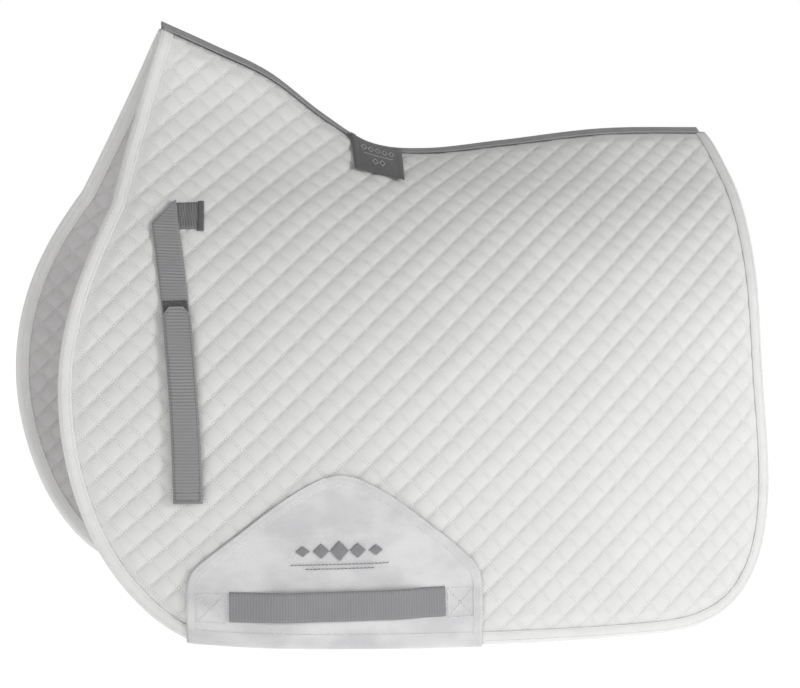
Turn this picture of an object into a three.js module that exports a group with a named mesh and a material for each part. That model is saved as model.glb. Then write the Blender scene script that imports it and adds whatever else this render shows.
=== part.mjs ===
// A quilted close-contact saddle pad, draped as it lies over a back.
// Millimetres. +X runs from the withers to the rear, -Y is the near side, +Z is up.
// The origin is the lowest point of the spine seam, where the pad rests on the back.
import * as THREE from "three";

// ---- driving dimensions ----
const SPINE_POINTS = [
  [-273, 129],
  [-223, 107],
  [-164, 79],
  [-108, 37],
  [-58, 7],
  [0, 0],
  [84, 7],
  [199, 18],
  [316, 18],
];
const FOLD_HALF_WIDTH = 80; // half the distance between the two fold lines
const FOLD_Z = -40; // height of the fold lines
const BOTTOM_Z = -467; // height of the lowest edge
const BARREL_HALF_WIDTH = 238; // half the spread of the panels at the widest station
const BARREL_X = 40; // the widest station
const BARREL_REACH = 400;
const BARREL_TAPER = 0.3;
const FRONT_TUCK = 30; // how far the lower front corner draws in
const TUCK_HEIGHTS = [-220, -460]; // where that starts and is complete
const TUCK_STATIONS = [-200, -400];
const FRONT_FOLD_X = -341; // front edge at the fold line
const REAR_FOLD_X = 317; // rear edge at the fold line
const PAD_THICKNESS = 10;
const COVER_THICKNESS = 1.4;
const BINDING_WIDTH = 17;
const BINDING_THICKNESS = 1.6;
const WEBBING_THICKNESS = 1.5;
const SEAM_COMPRESSION = 0.45; // share of the thickness left at the spine seam
const SEAM_REACH = 26; // how far the quilting takes to swell to its full thickness
const SEAM_SIDE_SHARE = 0.6; // how much the way out from the seam counts in that reach
const GAP = 0.3; // clearance between layers that share their stations
const OVER_GAP = 1; // clearance under a piece laid over the curved cover
const BINDING_SLACK = 1.3; // clearance between the layers and the folded band
const FOLD_CLEARANCE = 6; // each layer stops this far from the fold line
const BINDING_FOLD_CLEARANCE = 9;
const SPINE_INSET = 7; // the layers stop this far from the spine seam
const SPINE_BINDING_LEG = 14;
const EDGE_INSET = 3; // the layers stop this far inside the bound edge

// The girth patch, its keeper and the billet strap, as heights and stations on the panel.
const PATCH = {
  front: -293.5,
  rear: -20,
  shoulder: BOTTOM_Z + 67,
  apexX: -152,
  apex: BOTTOM_Z + 173,
};
// How wide the patch has grown at each depth under its apex, as a share of its full width.
const PATCH_TOP = [
  [0, 0],
  [4, 0.13],
  [22, 0.37],
  [52, 0.66],
  [78, 0.89],
  [90, 0.97],
  [106, 1],
];
const PATCH_THICKNESS = 1.2;
const PATCH_STEP = 9; // over this height the patch climbs onto the edge binding
const KEEPER = {
  front: -256,
  rear: -57,
  top: BOTTOM_Z + 65,
  bottom: BOTTOM_Z + 37,
  rise: 10,
};
const KEEPER_SEAT = 16; // length of each sewn end
const KEEPER_RAMP = 26;
const STITCH_PAD = { width: 25, height: 28, thickness: 0.6, clearance: 2 };
const STRAP_WIDTH = 25.4;
const STRAP = { x: -293.5, top: FOLD_Z - 36, bottom: BOTTOM_Z + 149, lean: -3 };
const ANCHOR = { rear: -250.5, top: FOLD_Z - 7.5, height: 24 };
const BARTACK_WIDTH = 6;
const TAB_TOP = FOLD_Z - 107;
const TAB_POINT = 14; // height of the tab's pointed end
const TAPE_MARGIN = 3;
const LABEL = { x: -60, width: 51, length: 50, thickness: 0.9 };
const EMBLEM = { x: -156, z: BOTTOM_Z + 100, width: 92, height: 22, thickness: 0.8 };

// ---- the draped surface ----
// A smooth curve through points given in order of x.
function throughPoints(points) {
  const slopeAt = (i) => {
    const a = points[Math.max(i - 1, 0)];
    const b = points[Math.min(i + 1, points.length - 1)];
    return (b[1] - a[1]) / (b[0] - a[0]);
  };
  return (x) => {
    let i = 0;
    while (i < points.length - 2 && x > points[i + 1][0]) i += 1;
    const [x0, z0] = points[i];
    const [x1, z1] = points[i + 1];
    const width = x1 - x0;
    if (x < x0) return z0 + slopeAt(0) * (x - x0);
    if (x > x1) return z1;
    const t = (x - x0) / width;
    const h = t * t * (3 - 2 * t);
    const start = t * (1 - t) * (1 - t) * width * slopeAt(i);
    const end = t * t * (t - 1) * width * slopeAt(i + 1);
    return z0 * (1 - h) + z1 * h + start + end;
  };
}

const spineZ = throughPoints(SPINE_POINTS);
const FRONT_TOP_X = SPINE_POINTS[0][0];
const REAR_TOP_X = SPINE_POINTS.at(-1)[0];
const RIDGE_ROUND = 9; // rounds the ridge over the spine seam
const RIDGE_DEPTH = 9;
const FRONT_SHOULDER = 0.2;
const REAR_SHOULDER = 0.4;
const SHOULDER_STATIONS = [-260, -40];

function smooth(a, b, x) {
  const t = Math.min(Math.max((x - a) / (b - a), 0), 1);
  return t * t * (3 - 2 * t);
}

function lerp(a, b, t) {
  return a + (b - a) * t;
}

function barrel(x) {
  return BARREL_HALF_WIDTH * (1 - BARREL_TAPER * ((x - BARREL_X) / BARREL_REACH) ** 2);
}

// Share of the spread that the upper shoulder of a section takes up.
function shoulderShare(x) {
  return lerp(FRONT_SHOULDER, REAR_SHOULDER, smooth(...SHOULDER_STATIONS, x));
}

// Half the distance between the two panels at a station and height.
function halfWidth(x, z) {
  const spread = barrel(x) - FOLD_HALF_WIDTH;
  const share = shoulderShare(x);
  const tuck = FRONT_TUCK * smooth(...TUCK_HEIGHTS, z) * smooth(...TUCK_STATIONS, x);
  if (z < FOLD_Z) {
    const left = Math.max(1 - (FOLD_Z - z) / (FOLD_Z - BOTTOM_Z), 0);
    const out = 1 - (1 - share) * left ** 2 - share * left ** 6;
    return FOLD_HALF_WIDTH + spread * out - tuck;
  }
  const rise = spineZ(x) - FOLD_Z;
  const t = (spineZ(x) - z) / rise;
  const slope = (spread / (FOLD_Z - BOTTOM_Z)) * (2 + 4 * share);
  const wide = FOLD_HALF_WIDTH - RIDGE_ROUND;
  const m = (slope * rise) / wide;
  const ridge = RIDGE_ROUND * (1 - Math.exp(-Math.max(t * rise, 0) / RIDGE_DEPTH));
  return wide * (t * (2 - m) + (m - 1) * t * t) + ridge;
}

// A point on the near panel's middle surface, pushed outwards by offset.
function onPanel(x, z, offset) {
  const e = 0.5;
  const acrossX = (halfWidth(x + e, z) - halfWidth(x - e, z)) / (2 * e);
  const acrossZ = (halfWidth(x, z + e) - halfWidth(x, z - e)) / (2 * e);
  const normal = new THREE.Vector3(-acrossX, -1, -acrossZ).normalize();
  return new THREE.Vector3(x, -halfWidth(x, z), z).addScaledVector(normal, offset);
}

// The height reached by going a given length down the panel from a start height.
function downFrom(x, start, length) {
  const step = 0.25;
  let z = start;
  let gone = 0;
  while (gone < length) {
    gone += onPanel(x, z, 0).distanceTo(onPanel(x, z - step, 0));
    z -= step;
  }
  return z;
}

// The height reached by going a given length up the panel from a start height.
function upFrom(x, start, length) {
  const step = 0.25;
  let z = start;
  let gone = 0;
  while (gone < length) {
    gone += onPanel(x, z, 0).distanceTo(onPanel(x, z + step, 0));
    z += step;
  }
  return z;
}

// Share of the full thickness at a station and height: the spine seam presses it flat.
function swell(x, z) {
  const below = Math.max(spineZ(x) - z, 0) + halfWidth(x, z) * SEAM_SIDE_SHARE;
  return SEAM_COMPRESSION + (1 - SEAM_COMPRESSION) * smooth(0, SEAM_REACH, below);
}

// ---- the outline of a panel in side view ----
function bezier(...points) {
  return new THREE.CubicBezierCurve(...points.map((p) => new THREE.Vector2(...p)));
}

function joined(...curves) {
  const path = new THREE.CurvePath();
  curves.forEach((curve) => path.add(curve));
  return path;
}

const frontEdge = joined(
  bezier([FRONT_FOLD_X, FOLD_Z], [-374, -92], [-404, -150], [-405, -222]),
  bezier([-405, -222], [-406, -330], [-345, BOTTOM_Z + 35], [-286, BOTTOM_Z + 15]),
);
const rearEdge = joined(
  bezier([REAR_FOLD_X, FOLD_Z], [312, -120], [300, -195], [301, -270]),
  bezier([301, -270], [303, BOTTOM_Z + 82], [292, BOTTOM_Z], [175, BOTTOM_Z]),
);

// ---- closed solids ----
// A closed solid from two equal grids of points, outside and inside.
function solidFromGrids(outside, inside) {
  const rows = outside.length;
  const columns = outside[0].length;
  const points = [...outside.flat(), ...inside.flat()];
  const shift = rows * columns;
  const at = (i, j) => i * columns + j;
  const faces = [];
  const quad = (a, b, c, d) => faces.push(a, b, c, a, c, d);
  for (let i = 0; i < rows - 1; i += 1) {
    for (let j = 0; j < columns - 1; j += 1) {
      quad(at(i, j), at(i + 1, j), at(i + 1, j + 1), at(i, j + 1));
      quad(
        shift + at(i, j),
        shift + at(i, j + 1),
        shift + at(i + 1, j + 1),
        shift + at(i + 1, j),
      );
    }
  }
  for (let j = 0; j < columns - 1; j += 1) {
    quad(at(0, j), at(0, j + 1), shift + at(0, j + 1), shift + at(0, j));
    const last = rows - 1;
    quad(at(last, j + 1), at(last, j), shift + at(last, j), shift + at(last, j + 1));
  }
  for (let i = 0; i < rows - 1; i += 1) {
    quad(at(i + 1, 0), at(i, 0), shift + at(i, 0), shift + at(i + 1, 0));
    const end = columns - 1;
    quad(at(i, end), at(i + 1, end), shift + at(i + 1, end), shift + at(i, end));
  }
  return geometryOf(points, faces);
}

// Six times the volume that a set of faces encloses, negative if they face inwards.
function enclosed(points, faces) {
  let sum = 0;
  for (let i = 0; i < faces.length; i += 3) {
    const [a, b, c] = [points[faces[i]], points[faces[i + 1]], points[faces[i + 2]]];
    sum += a.dot(b.clone().cross(c));
  }
  return sum;
}

function geometryOf(points, faces) {
  if (enclosed(points, faces) < 0) faces.reverse();
  const geometry = new THREE.BufferGeometry();
  geometry.setAttribute(
    "position",
    new THREE.Float32BufferAttribute(points.flatMap((p) => [p.x, p.y, p.z]), 3),
  );
  geometry.setIndex(faces);
  geometry.computeVertexNormals();
  return geometry;
}

// A closed solid swept through sections, each an equal ring of points.
function solidFromRings(rings) {
  const count = rings[0].length;
  const points = rings.flat();
  const faces = [];
  for (let i = 0; i < rings.length - 1; i += 1) {
    for (let j = 0; j < count; j += 1) {
      const k = (j + 1) % count;
      const a = i * count + j;
      const b = i * count + k;
      faces.push(a, b, b + count, a, b + count, a + count);
    }
  }
  return { points, faces };
}

// Closes both ends of a swept ring whose section is two equal sides laid back to back.
function cappedSweep(rings) {
  const { points, faces } = solidFromRings(rings);
  const count = rings[0].length;
  const half = count / 2;
  const lastStart = (rings.length - 1) * count;
  for (let j = 0; j < half - 1; j += 1) {
    const a = j;
    const b = j + 1;
    const c = count - 2 - j;
    const d = count - 1 - j;
    faces.push(a, c, b, a, d, c);
    faces.push(lastStart + a, lastStart + b, lastStart + c);
    faces.push(lastStart + a, lastStart + c, lastStart + d);
  }
  return geometryOf(points, faces);
}

// A layer over a grid of stations, between two offsets from the middle surface.
function layer(stations, inner, outer) {
  const grid = (offset) =>
    stations.map((row) => row.map(([x, z]) => onPanel(x, z, offset(x, z))));
  return solidFromGrids(grid(outer), grid(inner));
}

function mirrored(geometry) {
  const other = geometry.clone();
  const position = other.getAttribute("position");
  for (let i = 0; i < position.count; i += 1) position.setY(i, -position.getY(i));
  const index = other.getIndex();
  for (let i = 0; i < index.count; i += 3) {
    const first = index.getX(i);
    index.setX(i, index.getX(i + 1));
    index.setX(i + 1, first);
  }
  other.computeVertexNormals();
  return other;
}

// ---- the stations of each area ----
const COLUMNS = 24;
const UPPER_ROWS = 5;
const PANEL_ROWS = 14;
const ROW_CROWDING = 1.35; // crowds the rows towards the tighter curve at the top

// How far a height is on the way from the spine to the fold line.
function shareDown(topX, z) {
  return (spineZ(topX) - z) / (spineZ(topX) - FOLD_Z);
}

function upperStations() {
  const rows = [];
  for (let i = 0; i <= UPPER_ROWS; i += 1) {
    const row = [];
    for (let j = 0; j <= COLUMNS; j += 1) {
      const a = j / COLUMNS;
      const topX = lerp(FRONT_TOP_X + EDGE_INSET, REAR_TOP_X - EDGE_INSET, a);
      const lowX = lerp(FRONT_FOLD_X + EDGE_INSET, REAR_FOLD_X - EDGE_INSET, a);
      const top = downFrom(topX, spineZ(topX), SPINE_INSET);
      const low = upFrom(lowX, FOLD_Z, FOLD_CLEARANCE);
      const z = lerp(top, low, (i / UPPER_ROWS) ** ROW_CROWDING);
      row.push([lerp(topX, lowX, shareDown(topX, z)), z]);
    }
    rows.push(row);
  }
  return rows;
}

// A point of the panel's side-view outline moved inwards.
function insetPoint(edge, t, inset, inwards) {
  const p = edge.getPointAt(t);
  const tangent = edge.getTangentAt(t);
  return [p.x - tangent.y * inset * inwards, p.y + tangent.x * inset * inwards];
}

function panelStations() {
  const rows = [];
  for (let i = 0; i <= PANEL_ROWS; i += 1) {
    const t = (i / PANEL_ROWS) ** ROW_CROWDING;
    const front = insetPoint(frontEdge, t, EDGE_INSET, 1);
    const rear = insetPoint(rearEdge, t, EDGE_INSET, -1);
    const row = [];
    for (let j = 0; j <= COLUMNS; j += 1) {
      const a = j / COLUMNS;
      const x = lerp(front[0], rear[0], a);
      const z = lerp(front[1], rear[1], a);
      row.push([x, Math.min(z, downFrom(x, FOLD_Z, FOLD_CLEARANCE))]);
    }
    rows.push(row);
  }
  return rows;
}

// ---- the layers ----
const HALF = PAD_THICKNESS / 2;

function coverInner(x, z) {
  return (HALF - COVER_THICKNESS) * swell(x, z);
}

function coverOuter(x, z) {
  return coverInner(x, z) + COVER_THICKNESS;
}

function layersOver(stations) {
  return {
    cover: layer(stations, coverInner, coverOuter),
    wadding: layer(
      stations,
      (x, z) => GAP - coverInner(x, z),
      (x, z) => coverInner(x, z) - GAP,
    ),
    lining: layer(
      stations,
      (x, z) => -coverOuter(x, z),
      (x, z) => -coverInner(x, z),
    ),
  };
}

// ---- the edge binding ----
const FOLD_ROUND = 2; // half the height of the band's rounded fold
const OUTER_FOLD = 1; // where the outside of the band starts to turn round the edge
const INNER_FOLD = 2.5; // where its inside does
const INNER_EDGE = 1.2; // how far the inside of the fold stays behind the edge

// A folded band: its section wraps the edge, following the panel on both faces.
function bindingAlong(path) {
  const inside = (x, z) => coverOuter(x, z) + BINDING_SLACK;
  const rings = path.map(({ point, inwards }) => {
    const leg = (distance, offset) => {
      const x = point[0] + inwards[0] * distance;
      const z = point[1] + inwards[1] * distance;
      return onPanel(x, z, offset(x, z));
    };
    const thick = (x, z) => inside(x, z) + BINDING_THICKNESS;
    const outerSide = [
      leg(BINDING_WIDTH, thick),
      leg(OUTER_FOLD, thick),
      leg(-BINDING_THICKNESS, () => FOLD_ROUND),
      leg(-BINDING_THICKNESS, () => -FOLD_ROUND),
      leg(OUTER_FOLD, (x, z) => -thick(x, z)),
      leg(BINDING_WIDTH, (x, z) => -thick(x, z)),
    ];
    const innerSide = [
      leg(BINDING_WIDTH, (x, z) => -inside(x, z)),
      leg(INNER_FOLD, (x, z) => -inside(x, z)),
      leg(INNER_EDGE, () => -FOLD_ROUND),
      leg(INNER_EDGE, () => FOLD_ROUND),
      leg(INNER_FOLD, inside),
      leg(BINDING_WIDTH, inside),
    ];
    return [...outerSide, ...innerSide];
  });
  return cappedSweep(rings);
}

// Turns a row of side-view points into path stations with an inward direction.
function pathOf(points) {
  return points.map((point, i) => {
    const before = points[Math.max(i - 1, 0)];
    const after = points[Math.min(i + 1, points.length - 1)];
    const tangent = new THREE.Vector2(after[0] - before[0], after[1] - before[1]).normalize();
    const side = [-tangent.y, tangent.x];
    const e = 1;
    const ahead = onPanel(point[0] + side[0] * e, point[1] + side[1] * e, 0);
    const stretch = ahead.distanceTo(onPanel(point[0], point[1], 0)) / e;
    return { point, inwards: [side[0] / stretch, side[1] / stretch] };
  });
}

const EDGE_STATIONS = 20;
const BOTTOM_STATIONS = 10;
const FRONT_START = 1.1; // the front leg starts a little lower than the rear one

function panelBindingPath() {
  const start = BINDING_FOLD_CLEARANCE / frontEdge.getLength();
  const points = [];
  for (let i = 0; i <= EDGE_STATIONS; i += 1) {
    const p = frontEdge.getPointAt(lerp(start * FRONT_START, 1, i / EDGE_STATIONS));
    points.push([p.x, p.y]);
  }
  const [a, b] = [frontEdge.getPointAt(1), rearEdge.getPointAt(1)];
  for (let i = 1; i < BOTTOM_STATIONS; i += 1) {
    points.push([lerp(a.x, b.x, i / BOTTOM_STATIONS), lerp(a.y, b.y, i / BOTTOM_STATIONS)]);
  }
  for (let i = EDGE_STATIONS; i >= 0; i -= 1) {
    const p = rearEdge.getPointAt(lerp(start, 1, i / EDGE_STATIONS));
    points.push([p.x, p.y]);
  }
  return pathOf(points);
}

const UPPER_EDGE_STATIONS = 7;
const UPPER_BINDING_START = 9;

function upperEdgePath(topX, foldX) {
  const top = downFrom(topX, spineZ(topX), SPINE_BINDING_LEG + UPPER_BINDING_START);
  const low = upFrom(foldX, FOLD_Z, BINDING_FOLD_CLEARANCE);
  const points = [];
  for (let i = 0; i <= UPPER_EDGE_STATIONS; i += 1) {
    const t = i / UPPER_EDGE_STATIONS;
    const z = lerp(top, low, t);
    points.push([lerp(topX, foldX, shareDown(topX, z)), z]);
  }
  return pathOf(topX < 0 ? points : points.reverse());
}

// ---- the spine ----
const SPINE_STATIONS = 30;
const SPINE_OVERHANG = 2; // how far the tape runs past each end of the seam
const SPINE_APEX = 3.4; // height of the tape's ridge over the seam
const SPINE_APEX_THICKNESS = 1.8;

function spineBinding() {
  const rings = [];
  for (let i = 0; i <= SPINE_STATIONS; i += 1) {
    const x = lerp(FRONT_TOP_X - SPINE_OVERHANG, REAR_TOP_X + SPINE_OVERHANG, i / SPINE_STATIONS);
    const side = (offset, lift) => {
      const legs = [SPINE_BINDING_LEG, SPINE_INSET].map((length) => {
        const z = downFrom(x, spineZ(x), length);
        return onPanel(x, z, coverOuter(x, z) + OVER_GAP + offset);
      });
      const apex = new THREE.Vector3(x, 0, spineZ(x) + lift);
      const far = legs.map((p) => new THREE.Vector3(p.x, -p.y, p.z)).reverse();
      return [...legs, apex, ...far];
    };
    const outside = side(BINDING_THICKNESS, SPINE_APEX + SPINE_APEX_THICKNESS);
    rings.push([...outside, ...side(0, SPINE_APEX).reverse()]);
  }
  return cappedSweep(rings);
}

// ---- girth patch and keeper ----
function patchOffset(x, z) {
  const overBinding = smooth(PATCH.shoulder + PATCH_STEP, PATCH.shoulder, z);
  const step = BINDING_SLACK + BINDING_THICKNESS + GAP - OVER_GAP;
  return coverOuter(x, z) + OVER_GAP + overBinding * step;
}

const patchShare = throughPoints(PATCH_TOP);

// The sides of the patch at a height, closing to its rounded top.
function patchSides(z) {
  const share = Math.min(patchShare(PATCH.apex - z), 1);
  return [lerp(PATCH.apexX, PATCH.front, share), lerp(PATCH.apexX, PATCH.rear, share)];
}

// Rows of the patch: depths under its apex, then under the shoulder as shares of the way down.
const PATCH_DEPTHS = [1.2, 5, 12, 22, 36, 52, 66, 78, 90];
const PATCH_LOW_ROWS = [0, 0.25, 0.5, 0.75, 1];
const PATCH_LOW_ROW_Z = BOTTOM_Z + 21; // the last row over the girth edge
const PATCH_COLUMNS = 12;

function girthPatch() {
  const rowHeights = PATCH_DEPTHS.map((depth) => PATCH.apex - depth);
  rowHeights.push(PATCH.shoulder + PATCH_STEP, PATCH.shoulder + PATCH_STEP / 2);
  PATCH_LOW_ROWS.forEach((share) =>
    rowHeights.push(lerp(PATCH.shoulder, PATCH_LOW_ROW_Z, share)),
  );
  const rows = rowHeights.map((height) => {
    const [front, rear] = patchSides(height);
    const row = [];
    for (let j = 0; j <= PATCH_COLUMNS; j += 1) {
      row.push([lerp(front, rear, j / PATCH_COLUMNS), height]);
    }
    return row;
  });
  const bottom = rows.at(-1).map(([x]) => [x, bottomEdgeZ(x) + 1]);
  rows.push(bottom);
  return layer(rows, patchOffset, (x, z) => patchOffset(x, z) + PATCH_THICKNESS);
}

const FRONT_CORNER_RISE = 0.12; // slope of the bottom edge ahead of its front corner

// The height of the pad's bottom edge at a station.
function bottomEdgeZ(x) {
  const a = frontEdge.getPointAt(1);
  const b = rearEdge.getPointAt(1);
  if (x >= a.x) return lerp(a.y, b.y, (x - a.x) / (b.x - a.x));
  return a.y + (a.x - x) * FRONT_CORNER_RISE;
}

// The y of a point just clear of the patch's face, straight out from the median plane.
function patchFaceY(x, z) {
  const e = 0.5;
  const acrossX = (halfWidth(x + e, z) - halfWidth(x - e, z)) / (2 * e);
  const acrossZ = (halfWidth(x, z + e) - halfWidth(x, z - e)) / (2 * e);
  const offset = patchOffset(x, z) + PATCH_THICKNESS + GAP;
  return -halfWidth(x, z) - offset * Math.hypot(1, acrossX, acrossZ);
}

const RAMP_START = 0.1; // how far the webbing has risen where its sewn end stops
const RAMP_MIDDLE = 0.6; // and halfway up its ramp

// Webbing sewn down at both ends and standing off the patch between them.
function girthKeeper() {
  const flatStart = KEEPER.front + KEEPER_SEAT + KEEPER_RAMP;
  const flatEnd = KEEPER.rear - KEEPER_SEAT - KEEPER_RAMP;
  const faceY = (x) =>
    Math.min(patchFaceY(x, KEEPER.top), patchFaceY(x, KEEPER.bottom));
  const flatY = (x) => {
    const along = (x - flatStart) / (flatEnd - flatStart);
    return lerp(faceY(flatStart), faceY(flatEnd), along) - KEEPER.rise;
  };
  const stations = [
    KEEPER.front,
    KEEPER.front + KEEPER_SEAT,
    KEEPER.front + KEEPER_SEAT + KEEPER_RAMP / 2,
    flatStart,
    flatEnd,
    KEEPER.rear - KEEPER_SEAT - KEEPER_RAMP / 2,
    KEEPER.rear - KEEPER_SEAT,
    KEEPER.rear,
  ];
  const lift = [0, RAMP_START, RAMP_MIDDLE, 1, 1, RAMP_MIDDLE, RAMP_START, 0];
  const grid = (out) =>
    [KEEPER.top, (KEEPER.top + KEEPER.bottom) / 2, KEEPER.bottom].map((z) =>
      stations.map((x, i) => {
        const y = lerp(patchFaceY(x, z), flatY(x), lift[i]);
        return new THREE.Vector3(x, y - out, z);
      }),
    );
  return solidFromGrids(grid(WEBBING_THICKNESS), grid(0));
}

// A sewn square beyond each end of the keeper.
function stitchPad(x, z, width, height) {
  const rows = [0.5, 0, -0.5].map((v) =>
    [-0.5, 0, 0.5].map((u) => [x + u * width, z + v * height]),
  );
  const under = (a, b) => patchOffset(a, b) + PATCH_THICKNESS + GAP;
  return layer(rows, under, (a, b) => under(a, b) + STITCH_PAD.thickness);
}

// ---- billet strap ----
const TAPE_THICKNESS = 0.8;
const TAPE_TOP_INSET = 8; // the tapes stop this far under the tab's shoulders
const TAPE_BOTTOM_INSET = 10;
const TAB_MARGIN = 1; // how much wider the tab is than the strap
const POINT_SHARE = 0.5; // width of the tab's point as a share of the tab
const POINT_DROP = 0.6; // how much of the point's height is left at its middle

function strapX(z) {
  return STRAP.x - (STRAP.lean * (STRAP.top - z)) / (STRAP.top - STRAP.bottom);
}

// A flat piece on the strap between two heights, one level above another.
function onStrap(top, bottom, width, under, thickness, rowCount, pointed = 0) {
  const rows = [];
  for (let i = 0; i <= rowCount; i += 1) {
    const z = lerp(top, bottom, i / rowCount);
    rows.push([-0.5, 0, 0.5].map((u) => [strapX(z) + u * width, z]));
  }
  if (pointed) {
    rows[0] = [-0.5, 0, 0.5].map((u) => [
      strapX(top) + u * POINT_SHARE * width,
      top + pointed * (1 - Math.abs(u) * POINT_SHARE) * POINT_DROP,
    ]);
  }
  const low = (x, z) => coverOuter(x, z) + under;
  return layer(rows, low, (x, z) => low(x, z) + thickness);
}

function strapPieces() {
  const levelWebbing = OVER_GAP;
  const levelHook = levelWebbing + WEBBING_THICKNESS + GAP;
  const levelLoop = levelHook + TAPE_THICKNESS + GAP;
  const levelTab = levelLoop + TAPE_THICKNESS + GAP;
  const tapeWidth = STRAP_WIDTH - 2 * TAPE_MARGIN;
  const tapeTop = TAB_TOP - TAPE_TOP_INSET;
  const tapeBottom = STRAP.bottom + TAPE_BOTTOM_INSET;
  return {
    webbing: onStrap(STRAP.top, STRAP.bottom, STRAP_WIDTH, levelWebbing, WEBBING_THICKNESS, 10),
    hook: onStrap(tapeTop, tapeBottom, tapeWidth, levelHook, TAPE_THICKNESS, 8),
    loop: onStrap(tapeTop, tapeBottom, tapeWidth, levelLoop, TAPE_THICKNESS, 8),
    tab: onStrap(
      TAB_TOP,
      STRAP.bottom,
      STRAP_WIDTH + TAB_MARGIN,
      levelTab,
      WEBBING_THICKNESS,
      9,
      TAB_POINT,
    ),
  };
}

const BLOCK_GAP = 2; // between the strap and the block it is sewn to
const BARTACK_RISE = 0.6;
const TURN_CORNER = 3; // how far the turn's upper corner is inside the strap's edge
const TURN_CLEARANCE = 2.2; // between the turn and the top of the strap

// The sewn block, and the corner where the strap turns down.
function anchorPieces() {
  const frontX = STRAP.x + STRAP_WIDTH / 2 + BLOCK_GAP;
  const tackX = ANCHOR.rear - BARTACK_WIDTH;
  const cover = (x, z) => coverOuter(x, z) + OVER_GAP;
  const piece = (rows, thickness) => layer(rows, cover, (x, z) => cover(x, z) + thickness);
  const across = (x0, x1, count) =>
    Array.from({ length: count + 1 }, (_, i) => lerp(x0, x1, i / count));
  const rowsOf = (xs) =>
    [0, 0.5, 1].map((v) => xs.map((x) => [x, ANCHOR.top - ANCHOR.height * v]));
  const fold = [0, 0.5, 1].map((v) => {
    const z = lerp(ANCHOR.top, STRAP.top + TURN_CLEARANCE, v);
    const corner = STRAP.x + STRAP_WIDTH / 2 - TURN_CORNER;
    const left = lerp(corner, STRAP.x - STRAP_WIDTH / 2, v);
    return across(left, frontX - GAP, 2).map((x) => [x, z]);
  });
  return {
    block: piece(rowsOf(across(frontX, tackX - GAP, 2)), WEBBING_THICKNESS),
    bartack: piece(rowsOf(across(tackX, ANCHOR.rear, 1)), WEBBING_THICKNESS + BARTACK_RISE),
    fold: piece(fold, 2 * WEBBING_THICKNESS),
  };
}

// ---- label and emblem ----
const LABEL_GAP = 2; // between the spine tape and the label

function sizeLabel() {
  const rows = [0, 0.25, 0.5, 0.75, 1].map((v) =>
    [-0.5, -0.25, 0, 0.25, 0.5].map((u) => {
      const x = LABEL.x + u * LABEL.width;
      const length = SPINE_BINDING_LEG + LABEL_GAP + v * LABEL.length;
      return [x, downFrom(x, spineZ(x), length)];
    }),
  );
  const under = (x, z) => coverOuter(x, z) + OVER_GAP;
  return layer(rows, under, (x, z) => under(x, z) + LABEL.thickness);
}

function emblem() {
  const rows = [0.5, 0, -0.5].map((v) =>
    [-0.5, -0.25, 0, 0.25, 0.5].map((u) => [
      EMBLEM.x + u * EMBLEM.width,
      EMBLEM.z + v * EMBLEM.height,
    ]),
  );
  const under = (x, z) => patchOffset(x, z) + PATCH_THICKNESS + GAP;
  return layer(rows, under, (x, z) => under(x, z) + EMBLEM.thickness);
}

// ---- the assembly ----
const COLOURS = {
  cover: 0xdedcda,
  wadding: 0xf0eeea,
  lining: 0xa89fa6,
  binding: 0xe0dfdd,
  spine: 0x8d8b8c,
  webbing: 0x97979a,
  patch: 0xe4e3e2,
  thread: 0xf4f4f2,
  tape: 0x77767a,
  label: 0x636266,
};

function mesh(name, geometry, colour) {
  const material = new THREE.MeshStandardMaterial({
    color: COLOURS[colour],
    roughness: 0.9,
    metalness: 0,
  });
  const made = new THREE.Mesh(geometry, material);
  made.name = name;
  return made;
}

const group = new THREE.Group();
group.name = "saddle_pad";

function addPair(name, geometry, colour) {
  group.add(mesh("near_" + name, geometry, colour));
  group.add(mesh("off_" + name, mirrored(geometry), colour));
}

function addLayers(prefix, layers) {
  addPair(prefix + "_cover", layers.cover, "cover");
  addPair(prefix + "_wadding", layers.wadding, "wadding");
  addPair(prefix + "_lining", layers.lining, "lining");
}

addLayers("upper", layersOver(upperStations()));
addLayers("panel", layersOver(panelStations()));
addPair("panel_binding", bindingAlong(panelBindingPath()), "binding");
addPair("upper_front_binding", bindingAlong(upperEdgePath(FRONT_TOP_X, FRONT_FOLD_X)), "binding");
addPair("upper_rear_binding", bindingAlong(upperEdgePath(REAR_TOP_X, REAR_FOLD_X)), "binding");
group.add(mesh("spine_binding", spineBinding(), "spine"));
addPair("girth_patch", girthPatch(), "patch");
addPair("girth_keeper", girthKeeper(), "webbing");

const padZ = (KEEPER.top + KEEPER.bottom) / 2;
const padShift = STITCH_PAD.width / 2 + STITCH_PAD.clearance;
const padAt = (x) => stitchPad(x, padZ, STITCH_PAD.width, STITCH_PAD.height);
addPair("front_stitch_box", padAt(KEEPER.front - padShift), "thread");
addPair("rear_stitch_box", padAt(KEEPER.rear + padShift), "thread");
addPair("emblem", emblem(), "label");

const anchor = anchorPieces();
addPair("strap_anchor", anchor.block, "webbing");
addPair("anchor_bartack", anchor.bartack, "tape");
addPair("strap_turn", anchor.fold, "webbing");

const strap = strapPieces();
addPair("strap_webbing", strap.webbing, "webbing");
addPair("strap_hook_tape", strap.hook, "tape");
addPair("tab_loop_tape", strap.loop, "tape");
addPair("closing_tab", strap.tab, "webbing");
group.add(mesh("size_label", sizeLabel(), "label"));

export default group;
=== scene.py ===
"""A quilted close-contact saddle pad, draped over a back that isn't shown."""

import math

import bpy
import numpy as np
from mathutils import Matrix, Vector
from mathutils.kdtree import KDTree

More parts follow.
